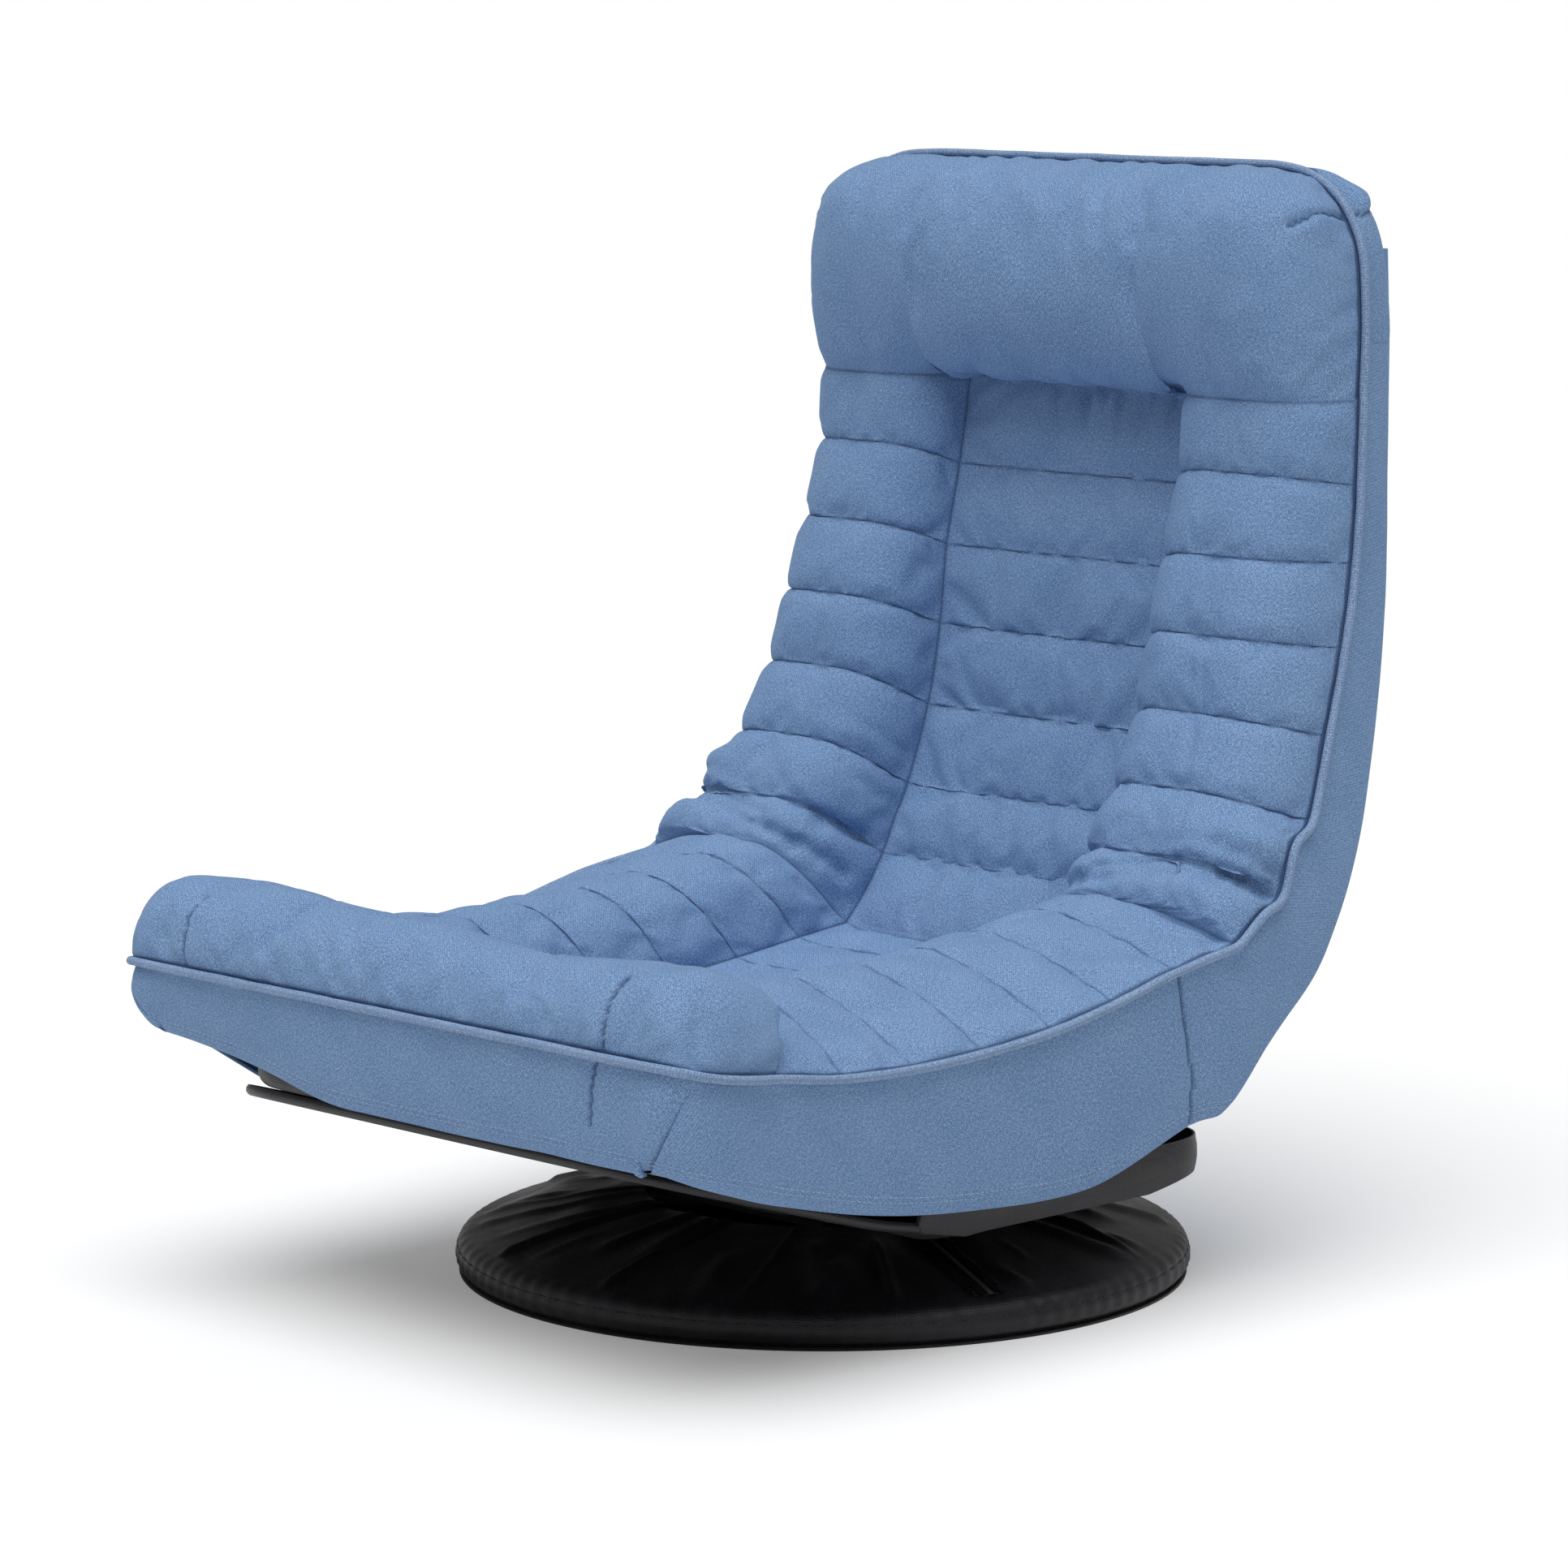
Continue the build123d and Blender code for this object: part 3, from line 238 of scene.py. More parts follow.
def facing(grid: np.ndarray) -> np.ndarray:
    """Unit normals of a grid of points, rows crossed with columns."""
    return unit(np.cross(np.gradient(grid, axis=1), np.gradient(grid, axis=0)))


def calm_facing(grid: np.ndarray, rounds: int = 24) -> np.ndarray:
    """Unit normals of a grid, evened out so that folds and seams don't show in them."""
    normal = facing(grid)
    for _ in range(rounds):
        for axis in (0, 1):
            ends = np.concatenate([normal.take([0], axis), normal, normal.take([-1], axis)], axis=axis)
            low, high = (ends.take(range(start, start + normal.shape[axis]), axis) for start in (0, 2))
            normal = unit(low + 2 * normal + high)
    return normal


def travelled_over(grid: np.ndarray, axis: int) -> np.ndarray:
    """Distance of each point of a grid from the grid's first row (axis 0) or column (axis 1)."""
    distance = np.cumsum(np.linalg.norm(np.diff(grid, axis=axis), axis=2), axis=axis)
    return np.concatenate([np.zeros_like(distance.take([0], axis)), distance], axis=axis)


def side_gap(grid: np.ndarray, axis: int) -> np.ndarray:
    """Distance of each point of a grid from the nearer of two opposite borders."""
    start = travelled_over(grid, axis)
    return np.minimum(start, start.take([-1], axis) - start)


def border_gap(grid: np.ndarray) -> np.ndarray:
    """Distance of each point of a grid from the nearest border, along its row or column."""
    return np.minimum(side_gap(grid, 0), side_gap(grid, 1))


def piped_shade(grid: np.ndarray, borders: Sequence[str], strength: float = 0.8) -> np.ndarray:
    """Painted shade of the narrow valley beside the piping, darkening the cloth's colour there.

    Args:
        grid: Rows by columns of a face.
        borders: Which of its borders carry the piping: first, last, left or right.
        strength: How dark the painted shade in the valley is.

    Returns:
        The painted shade at each point.
    """
    gap = np.full(grid.shape[:2], 1.0)
    for border in borders:
        axis = 0 if border in ("first", "last") else 1
        start = travelled_over(grid, axis)
        here = start if border in ("first", "left") else start.take([-1], axis) - start
        gap = np.minimum(gap, here)
    # Painted shade: a darkened band in the valley beside the piping's cord.
    beyond = np.maximum(gap - VALLEY_WIDTH, 0.0)
    return strength * np.exp(-((beyond / VALLEY_FADE) ** 2))


def relaxed(grid: np.ndarray, rounds: int, held: np.ndarray) -> np.ndarray:
    """Grid whose free points settle between their neighbours, for a softer surface.

    Args:
        grid: Rows by columns of points.
        rounds: How often each point settles.
        held: True where a point stays.

    Returns:
        The settled grid.
    """
    grid = grid.copy()
    for _ in range(rounds):
        middle = grid.copy()
        middle[1:-1, 1:-1] = (grid[:-2, 1:-1] + grid[2:, 1:-1] + grid[1:-1, :-2] + grid[1:-1, 2:]) / 4
        grid = np.where(held[..., None], grid, 0.5 * grid + 0.5 * middle)
    return grid


def refined(values: np.ndarray) -> np.ndarray:
    """Grid with a point between each two, on smooth curves through the old ones."""
    for axis in (0, 1):
        values = np.moveaxis(values, axis, 0)
        ends = np.concatenate([2 * values[:1] - values[1:2], values, 2 * values[-1:] - values[-2:-1]])
        between = (9 * (ends[1:-2] + ends[2:-1]) - ends[:-3] - ends[3:]) / 16
        result = np.empty((2 * len(values) - 1, *values.shape[1:]))
        result[0::2] = values
        result[1::2] = between
        values = np.moveaxis(result, 0, axis)
    return values


def value_noise(places: np.ndarray, seed: int) -> np.ndarray:
    """Smooth seeded noise.

    Args:
        places: Points of one to three coordinates in the last axis, one unit per lump.
        seed: Which noise.

    Returns:
        One value from -1 to 1 for each point.
    """
    table = np.random.default_rng(seed).uniform(-1, 1, 4096)
    cell = np.floor(places).astype(int)
    share = places - cell
    share = share * share * (3 - 2 * share)
    total = np.zeros(places.shape[:-1])
    axes = places.shape[-1]
    for corner in range(2**axes):
        offset = np.array([(corner >> axis) & 1 for axis in range(axes)])
        key = (cell + offset) @ np.array([73, 1013, 2459])[:axes]
        weight = np.prod(np.where(offset, share, 1 - share), axis=-1)
        total += weight * table[key % 4096]
    return total


# ------------------------------------------------------------------ meshes
def new_object(name: str, points: Any, faces: Sequence[Sequence[int]]) -> bpy.types.Object:
    """Object at the origin with a smooth-shaded mesh.

    Args:
        name: Name of the piece.
        points: Its points.
        faces: Its faces, as point numbers.

    Returns:
        The object, linked to the scene.
    """
    mesh = bpy.data.meshes.new(name)
    mesh.from_pydata(np.asarray(points, float).tolist(), [], faces)
    mesh.update()
    mesh.shade_smooth()
    mesh.set_sharp_from_angle(angle=math.radians(55))
    piece = bpy.data.objects.new(name, mesh)
    bpy.context.scene.collection.objects.link(piece)
    return piece


def grid_faces(rows: int, columns: int, start: int = 0, closed: bool = False) -> list[tuple[int, ...]]:
    """Faces of a grid of points.

    Args:
        rows: Number of rows.
        columns: Number of columns.
        start: Number of the grid's first point.
        closed: Whether each row's last point joins its first.

    Returns:
        Four-sided faces that look along rows x columns.
    """
    last = columns if closed else columns - 1
    return [
        (
            start + row * columns + column,
            start + row * columns + (column + 1) % columns,
            start + (row + 1) * columns + (column + 1) % columns,
            start + (row + 1) * columns + column,
        )
        for row in range(rows - 1)
        for column in range(last)
    ]


def set_uv(mesh: bpy.types.Mesh, places: np.ndarray) -> None:
    """Lay the cloth's flat coordinates, in metres, on a mesh, one for each point."""
    layer = mesh.uv_layers.new(name=CLOTH_UV)
    numbers = np.empty(len(mesh.loops), dtype=np.int32)
    mesh.loops.foreach_get("vertex_index", numbers)
    layer.data.foreach_set("uv", places[numbers].astype(np.float32).ravel())


def set_layer(mesh: bpy.types.Mesh, name: str, values: np.ndarray) -> None:
    """Store one number for each point of a mesh under a name that materials read."""
    layer = mesh.attributes.new(name, "FLOAT", "POINT")
    layer.data.foreach_set("value", values.astype(np.float32))


def flat_places(grid: np.ndarray) -> np.ndarray:
    """Coordinates of a grid's points in the cloth as it was cut, in metres."""
    along = np.linalg.norm(np.diff(grid, axis=0), axis=2)
    u = travelled_over(grid, 1)
    u -= u[:, -1:] / 2
    mean_step = along.mean(axis=1)
    v = np.concatenate([[0.0], np.cumsum(mean_step)])[:, None] * np.ones(grid.shape[1])
    return np.stack([u, v], axis=-1)


def rim_numbers(rows: int, columns: int) -> list[int]:
    """Point numbers around the border of a grid, in order."""
    bottom = list(range(columns))
    right = [row * columns + columns - 1 for row in range(1, rows)]
    top = [(rows - 1) * columns + column for column in range(columns - 2, -1, -1)]
    left = [row * columns for row in range(rows - 2, 0, -1)]
    return bottom + right + top + left


def stuffed(name: str, grid: np.ndarray, depth: float, seam: np.ndarray) -> bpy.types.Object:
    """Closed pad: its sewn face, a turned-in border and a plain back.

    Args:
        name: Name of the piece.
        grid: Rows by columns of the sewn face, seen from outside.
        depth: How far the border turns in.
        seam: How dark each point is painted, 0 to 1: needle lines, and painted shade in seam and piping
            valleys.

    Returns:
        The pad.
    """
    rows, columns = grid.shape[:2]
    border = rim_numbers(rows, columns)
    inward = -calm_facing(grid).reshape(-1, 3)[border]
    face = grid.reshape(-1, 3)
    count = len(face)
    turned = face[border] + inward * depth
    points = np.vstack([face, turned])
    faces = grid_faces(rows, columns)
    size = len(border)
    for place in range(size):
        follow = (place + 1) % size
        faces.append((border[follow], border[place], count + place, count + follow))
    bottom = list(range(columns))
    right = list(range(columns - 1, columns + rows - 1))
    top = list(range(columns + rows - 2, 2 * columns + rows - 2))
    left = [0] + list(range(size - 1, size - rows + 1, -1)) + [top[-1]]
    for row in range(rows - 1):
        faces.append((count + left[row], count + left[row + 1], count + right[row + 1], count + right[row]))
    faces.append(tuple(count + number for number in reversed(bottom)))
    faces.append(tuple(count + number for number in reversed(top)))
    piece = new_object(name, points, faces)
    places = flat_places(grid).reshape(-1, 2)
    set_uv(piece.data, np.vstack([places, places[border]]))
    layer = seam.reshape(-1)
    set_layer(piece.data, SEAM_LINE_AND_SHADE_LAYER, np.concatenate([layer, np.zeros(size)]))
    return piece


def walled(name: str, grid: np.ndarray, thickness: float, seam: np.ndarray | None = None) -> bpy.types.Object:
    """Sheet of cloth with a real thickness, closed around its border.

    Args:
        name: Name of the piece.
        grid: Rows by columns of the outer face, seen from outside.
        thickness: How thick the cloth is.
        seam: How dark each point is painted, 0 to 1: needle lines, and painted shade in seam and piping
            valleys.

    Returns:
        The sheet.
    """
    rows, columns = grid.shape[:2]
    outer = grid.reshape(-1, 3)
    inner = (grid - facing(grid) * thickness).reshape(-1, 3)
    count = len(outer)
    faces = grid_faces(rows, columns)
    faces += [tuple(count + number for number in reversed(face)) for face in faces]
    border = rim_numbers(rows, columns)
    for place, number in enumerate(border):
        follow = border[(place + 1) % len(border)]
        faces.append((follow, number, count + number, count + follow))
    piece = new_object(name, np.vstack([outer, inner]), faces)
    places = flat_places(grid).reshape(-1, 2)
    set_uv(piece.data, np.vstack([places, places]))
    layer = np.zeros(count) if seam is None else seam.reshape(-1)
    set_layer(piece.data, SEAM_LINE_AND_SHADE_LAYER, np.concatenate([layer, layer]))
    return piece


def round_tube(name: str, line: np.ndarray, radii: np.ndarray, sides: int = 12) -> bpy.types.Object:
    """Tube with capped ends along a line.

    Args:
        name: Name of the piece.
        line: Points of its centre line.
        radii: Radius at each point.
        sides: How many sides the tube has.

    Returns:
        The tube.
    """
    tangent = unit(np.gradient(line, axis=0))
    normal = np.zeros_like(line)
    start = np.cross(tangent[0], [0.0, 0.0, 1.0])
    normal[0] = unit(start if np.linalg.norm(start) > 1e-3 else np.array([1.0, 0.0, 0.0]))
    for number in range(1, len(line)):
        carried = normal[number - 1] - tangent[number] * (normal[number - 1] @ tangent[number])
        normal[number] = unit(carried)
    binormal = np.cross(tangent, normal)
    turn = np.linspace(0, 2 * math.pi, sides, endpoint=False)
    ring = normal[:, None] * np.cos(turn)[:, None] + binormal[:, None] * np.sin(turn)[:, None]
    grid = line[:, None] + ring * radii[:, None, None]
    faces = grid_faces(len(line), sides, closed=True)
    first = tuple(reversed(range(sides)))
    last = tuple((len(line) - 1) * sides + side for side in range(sides))
    piece = new_object(name, grid.reshape(-1, 3), faces + [first, last])
    around = np.broadcast_to(turn * radii.mean(), grid.shape[:2])
    along = np.broadcast_to(lengths_along(line)[:, None], grid.shape[:2])
    set_uv(piece.data, np.stack([around, along], axis=-1).reshape(-1, 2))
    set_layer(piece.data, SEAM_LINE_AND_SHADE_LAYER, np.zeros(len(line) * sides))
    return piece


# ------------------------------------------------------------------ finishes
def linear(colour: str) -> tuple[float, float, float, float]:
    """Colour written as sRGB hex, turned to the linear values that a shader takes."""
    parts = [int(colour[place : place + 2], 16) / 255 for place in (1, 3, 5)]
    red, green, blue = (
        part / 12.92 if part <= 0.04045 else ((part + 0.055) / 1.055) ** 2.4
        for part in parts
    )
    return red, green, blue, 1.0


def add(tree: bpy.types.NodeTree, kind: str, inputs: dict[Any, Any] | None = None, **settings: Any) -> Any:
    """Add a node to a tree.

    Args:
        tree: The tree.
        kind: The node's type.
        inputs: Values or output sockets for its inputs, by name or number.
        settings: The node's own properties.

    Returns:
        The node.
    """
    node = tree.nodes.new(kind)
    for name, value in settings.items():
        setattr(node, name, value)
    for name, value in (inputs or {}).items():
        if isinstance(value, bpy.types.NodeSocket):
            tree.links.new(value, node.inputs[name])
        else:
            node.inputs[name].default_value = value
    return node


def blank_material(name: str) -> tuple[bpy.types.Material, Any, Any]:
    """New material with its output node.

    Returns:
        The material, its node tree and its output node.
    """
    material = bpy.data.materials.new(name)
    material.use_nodes = True
    tree = material.node_tree
    tree.nodes.clear()
    return material, tree, add(tree, "ShaderNodeOutputMaterial")


@dataclass(frozen=True)
class WovenCloth:
    """Plain-woven polyester of two-tone yarn: matt, flecked, with a soft bloom at its edges.

    The real thread pitch is about half a millimetre; the pattern is drawn at the coarser pitch
    below so that the weave still reads in a picture of the whole chair.
    """

    name: str = "woven heather polyester"
    dark: str = "#55739A"
    middle: str = "#7293BE"
    light: str = "#A0B8D6"
    # Colour that the seam layer blends towards: needle lines, and painted shade in seam, dart and piping
    # valleys.
    groove: str = "#2E4468"
    pitch: float = 1.0 * MM
    fleck: float = 0.75 * MM
    relief: float = 0.11 * MM
    roughness: float = 0.92
    sheen: float = 0.25
    bias: float = 0.0

    def build(self) -> bpy.types.Material:
        """Make the material: flecked warp and weft, faint blotches, dark needle lines with painted shade in
        the valleys of seams, darts and piping, raised threads.
        """
        material, tree, output = blank_material(self.name)
        uv = add(tree, "ShaderNodeUVMap", uv_map=CLOTH_UV)
        cut = add(tree, "ShaderNodeMapping", {0: uv.outputs[0], "Rotation": (0.0, 0.0, self.bias)})
        split = add(tree, "ShaderNodeSeparateXYZ", {0: cut.outputs[0]})
        threads = []
        for axis in (0, 1):
            phase = add(tree, "ShaderNodeMath", {0: split.outputs[axis], 1: math.pi / self.pitch},
                        operation="MULTIPLY")
            threads.append(add(tree, "ShaderNodeMath", {0: phase.outputs[0]}, operation="SINE"))
        over = add(tree, "ShaderNodeMath", {0: threads[0].outputs[0], 1: threads[1].outputs[0]},
                   operation="MULTIPLY")
        streaks = []
        for stretch in ((1.0, 0.4, 1.0), (0.4, 1.0, 1.0)):
            scaled = add(tree, "ShaderNodeMapping",
                         {0: cut.outputs[0], "Scale": [value / self.fleck for value in stretch]})
            streaks.append(add(tree, "ShaderNodeTexNoise",
                               {"Vector": scaled.outputs[0], "Scale": 1.0, "Detail": 1.0, "Roughness": 0.6}))
        warp_on_top = add(tree, "ShaderNodeMapRange",
                          {"Value": over.outputs[0], "From Min": -0.35, "From Max": 0.35})
        fleck = add(tree, "ShaderNodeMix",
                    {0: warp_on_top.outputs[0], 2: streaks[0].outputs[0], 3: streaks[1].outputs[0]},
                    data_type="FLOAT")
        blotch = add(tree, "ShaderNodeTexNoise",
                     {"Vector": uv.outputs[0], "Scale": 22.0, "Detail": 3.0, "Roughness": 0.6})
        weave = add(tree, "ShaderNodeMath", {0: over.outputs[0], 1: 0.09, 2: fleck.outputs[0]},
                    operation="MULTIPLY_ADD")
        tone = add(tree, "ShaderNodeMath", {0: blotch.outputs[0], 1: 0.12, 2: weave.outputs[0]},
                   operation="MULTIPLY_ADD")
        ramp = add(tree, "ShaderNodeValToRGB", {0: tone.outputs[0]})
        stops = ramp.color_ramp.elements
        stops[0].position, stops[0].color = 0.36, linear(self.dark)
        stops[1].position, stops[1].color = 0.76, linear(self.light)
        stops.new(0.56).color = linear(self.middle)
        # Painted shade: the seam layer darkens the colour towards the seam colour along needle lines, darts
        # and the piping's valley.
        seam = add(tree, "ShaderNodeAttribute", attribute_name=SEAM_LINE_AND_SHADE_LAYER)
        shaded = add(tree, "ShaderNodeMix",
                     {0: seam.outputs["Fac"], 6: ramp.outputs[0], 7: linear(self.groove)},
                     data_type="RGBA")
        raised = add(tree, "ShaderNodeMath", {0: over.outputs[0], 1: over.outputs[0]}, operation="MULTIPLY")
        height = add(tree, "ShaderNodeMath", {0: raised.outputs[0], 1: 0.45, 2: fleck.outputs[0]},
                     operation="MULTIPLY_ADD")
        bump = add(tree, "ShaderNodeBump",
                   {"Height": height.outputs[0], "Strength": 1.0, "Distance": self.relief})
        shader = add(tree, "ShaderNodeBsdfPrincipled",
                     {"Base Color": shaded.outputs[2], "Roughness": self.roughness,
                      "Sheen Weight": self.sheen, "Sheen Roughness": 0.45,
                      "Sheen Tint": linear(self.light), "Specular IOR Level": 0.15,
                      "Normal": bump.outputs[0]})
        tree.links.new(shader.outputs[0], output.inputs[0])
        return material


@dataclass(frozen=True)
class OxfordCloth:
    """Black coated oxford cloth: a fine basket weave with a dull satin shine along its folds."""

    name: str = "black oxford cloth"
    dark: str = "#08070B"
    light: str = "#1F1D26"
    pitch: float = 1.3 * MM
    relief: float = 0.10 * MM
    roughness: float = 0.38
    sheen: float = 0.06

    def build(self) -> bpy.types.Material:
        """Make the material: two-tone basket weave, dusty patches and a roughness that wanders."""
        material, tree, output = blank_material(self.name)
        place = add(tree, "ShaderNodeTexCoord")
        split = add(tree, "ShaderNodeSeparateXYZ", {0: place.outputs["Object"]})
        waves = []
        for axis in range(3):
            phase = add(tree, "ShaderNodeMath", {0: split.outputs[axis], 1: 2 * math.pi / self.pitch},
                        operation="MULTIPLY")
            waves.append(add(tree, "ShaderNodeMath", {0: phase.outputs[0]}, operation="SINE"))
        flat = add(tree, "ShaderNodeMath", {0: waves[0].outputs[0], 1: waves[1].outputs[0]},
                   operation="MULTIPLY")
        weave = add(tree, "ShaderNodeMath", {0: waves[2].outputs[0], 1: 0.4, 2: flat.outputs[0]},
                    operation="MULTIPLY_ADD")
        dust = add(tree, "ShaderNodeTexNoise",
                   {"Vector": place.outputs["Object"], "Scale": 34.0, "Detail": 4.0, "Roughness": 0.62})
        tone = add(tree, "ShaderNodeMath", {0: weave.outputs[0], 1: 0.10, 2: dust.outputs[0]},
                   operation="MULTIPLY_ADD")
        ramp = add(tree, "ShaderNodeValToRGB", {0: tone.outputs[0]})
        stops = ramp.color_ramp.elements
        stops[0].position, stops[0].color = 0.30, linear(self.dark)
        stops[1].position, stops[1].color = 0.85, linear(self.light)
        gloss = add(tree, "ShaderNodeMapRange",
                    {"Value": dust.outputs[0], "From Min": 0.3, "From Max": 0.7,
                     "To Min": self.roughness - 0.07, "To Max": self.roughness + 0.10})
        bump = add(tree, "ShaderNodeBump",
                   {"Height": weave.outputs[0], "Strength": 0.7, "Distance": self.relief})
        shader = add(tree, "ShaderNodeBsdfPrincipled",
                     {"Base Color": ramp.outputs[0], "Roughness": gloss.outputs[0],
                      "Sheen Weight": self.sheen, "Sheen Roughness": 0.4, "Specular IOR Level": 0.5,
                      "Normal": bump.outputs[0]})
        tree.links.new(shader.outputs[0], output.inputs[0])
        return material


@dataclass(frozen=True)
class HardFinish:
    """Metal, plastic or paint: one colour that wanders a little, with fine grain and rubbed patches."""

    name: str
    colour: str
    worn: str
    metallic: float
    roughness: float
    grain: float
    relief: float

    def build(self) -> bpy.types.Material:
        """Make the material from two noises, one for patches and one for grain."""
        material, tree, output = blank_material(self.name)
        place = add(tree, "ShaderNodeTexCoord")
        patches = add(tree, "ShaderNodeTexNoise",
                      {"Vector": place.outputs["Object"], "Scale": 45.0, "Detail": 5.0, "Roughness": 0.65})
        grain = add(tree, "ShaderNodeTexNoise",
                    {"Vector": place.outputs["Object"], "Scale": 1.0 / self.grain, "Detail": 2.0})
        ramp = add(tree, "ShaderNodeValToRGB", {0: patches.outputs[0]})
        stops = ramp.color_ramp.elements
        stops[0].position, stops[0].color = 0.40, linear(self.colour)
        stops[1].position, stops[1].color = 0.72, linear(self.worn)
        gloss = add(tree, "ShaderNodeMapRange",
                    {"Value": patches.outputs[0], "From Min": 0.3, "From Max": 0.7,
                     "To Min": max(self.roughness - 0.06, 0.05), "To Max": self.roughness + 0.10})
        bump = add(tree, "ShaderNodeBump",
                   {"Height": grain.outputs[0], "Strength": 0.6, "Distance": self.relief})
        shader = add(tree, "ShaderNodeBsdfPrincipled",
                     {"Base Color": ramp.outputs[0], "Metallic": self.metallic, "Roughness": gloss.outputs[0],
                      "Normal": bump.outputs[0]})
        tree.links.new(shader.outputs[0], output.inputs[0])
        return material


@dataclass(frozen=True)
class WovenStrap:
    """Woven elastic webbing: ribs across the strap with darker rubber lines along it."""

    name: str = "woven elastic webbing"
    pale: str = "#B9B3A4"
    stripe: str = "#2C2B2A"
    rib: float = 2.2 * MM
    relief: float = 0.3 * MM

    def build(self) -> bpy.types.Material:
        """Make the material from ribs along one way and stripes along the other."""
        material, tree, output = blank_material(self.name)
        place = add(tree, "ShaderNodeTexCoord")
        ribs = add(tree, "ShaderNodeTexWave",
                   {"Vector": place.outputs["Object"], "Scale": 0.314 / self.rib, "Distortion": 0.6,
                    "Detail": 1.0}, bands_direction="X")
        stripes = add(tree, "ShaderNodeTexWave",
                      {"Vector": place.outputs["Object"], "Scale": 0.314 / (5 * self.rib), "Distortion": 0.2},
                      bands_direction="Y")
        tone = add(tree, "ShaderNodeMath", {0: ribs.outputs["Fac"], 1: 0.3, 2: stripes.outputs["Fac"]},
                   operation="MULTIPLY_ADD")
        ramp = add(tree, "ShaderNodeValToRGB", {0: tone.outputs[0]})
        stops = ramp.color_ramp.elements
        stops[0].position, stops[0].color = 0.12, linear(self.stripe)
        stops[1].position, stops[1].color = 0.34, linear(self.pale)
        bump = add(tree, "ShaderNodeBump",
                   {"Height": ribs.outputs["Fac"], "Strength": 0.8, "Distance": self.relief})
        shader = add(tree, "ShaderNodeBsdfPrincipled",
                     {"Base Color": ramp.outputs[0], "Roughness": 0.88, "Normal": bump.outputs[0]})
        tree.links.new(shader.outputs[0], output.inputs[0])
        return material


@dataclass
class Finishes:
    """Every finish on the chair, built once."""

    fabric: WovenCloth = WovenCloth()
    piping: WovenCloth = WovenCloth(
        name="bias-cut piping cloth", dark="#5B7799", middle="#7D97BB", light="#AEC0DA",
        pitch=1.2 * MM, bias=math.radians(45))
    thread: WovenCloth = WovenCloth(
        name="twisted blue sewing thread", dark="#7F9AC0", middle="#9BB2D2", light="#C3D2E8",
        pitch=0.6 * MM, fleck=0.5 * MM, roughness=0.7)
    oxford: OxfordCloth = OxfordCloth()
    lip: OxfordCloth = OxfordCloth(
        name="glossy black zip tape", dark="#060709", light="#1B1C20", roughness=0.27, sheen=0.0)
    black_thread: OxfordCloth = OxfordCloth(
        name="twisted black sewing thread", dark="#131417", light="#3A3A41", roughness=0.5)
    paint: HardFinish = HardFinish(
        "black powder-coated steel", "#17181A", "#1E1F22", 0.0, 0.48, 0.9 * MM, 0.05 * MM)
    zinc: HardFinish = HardFinish(
        "bright zinc-plated steel", "#BFC2C6", "#D2D3D2", 1.0, 0.34, 0.5 * MM, 0.02 * MM)
    bolt: HardFinish = HardFinish(
        "blued steel fasteners", "#8A8D92", "#A6A8AA", 1.0, 0.38, 0.4 * MM, 0.02 * MM)
    plastic: HardFinish = HardFinish(
        "black moulded nylon", "#1A1A1B", "#242425", 0.0, 0.42, 0.7 * MM, 0.03 * MM)
    zip_metal: HardFinish = HardFinish(
        "black enamelled zinc zip", "#15161A", "#3C3D42", 0.55, 0.28, 0.5 * MM, 0.02 * MM)
    strap: WovenStrap = WovenStrap()
    made: dict[str, bpy.types.Material] = field(default_factory=dict)

    def material(self, finish: Any) -> bpy.types.Material:
        """Material of a finish, made the first time it is asked for."""
        if finish.name not in self.made:
            self.made[finish.name] = finish.build()
        return self.made[finish.name]

    def dress(self, piece: bpy.types.Object, finish: Any, slot: Slot) -> bpy.types.Object:
        """Give a new piece its finish."""
        piece.data.materials.clear()
        piece.data.materials.append(self.material(finish))
        return piece

    def dress_frame(self, nodes: dict[str, bpy.types.Object], slots: dict[str, Slot]) -> None:
        """Give each hard piece of the frame the finish of its material slot.

        Args:
            nodes: The frame's pieces by name.
            slots: The slot of each.
        """
        by_slot = {
            Slot.BLUE_FABRIC: self.fabric, Slot.BLUE_PIPING: self.piping, Slot.BLACK_CLOTH: self.oxford,
            Slot.PAINTED_STEEL: self.paint, Slot.ZINC_STEEL: self.zinc, Slot.FASTENER_STEEL: self.bolt,
            Slot.BLACK_PLASTIC: self.plastic, Slot.ZIP_METAL: self.zip_metal, Slot.WEBBING: self.strap,
        }
        for name, node in nodes.items():
            finish = by_slot[slots[name]]
            node.data.materials.clear()
            node.data.materials.append(self.material(finish))
        LOG.info("dressed %d pieces of the frame", len(nodes))


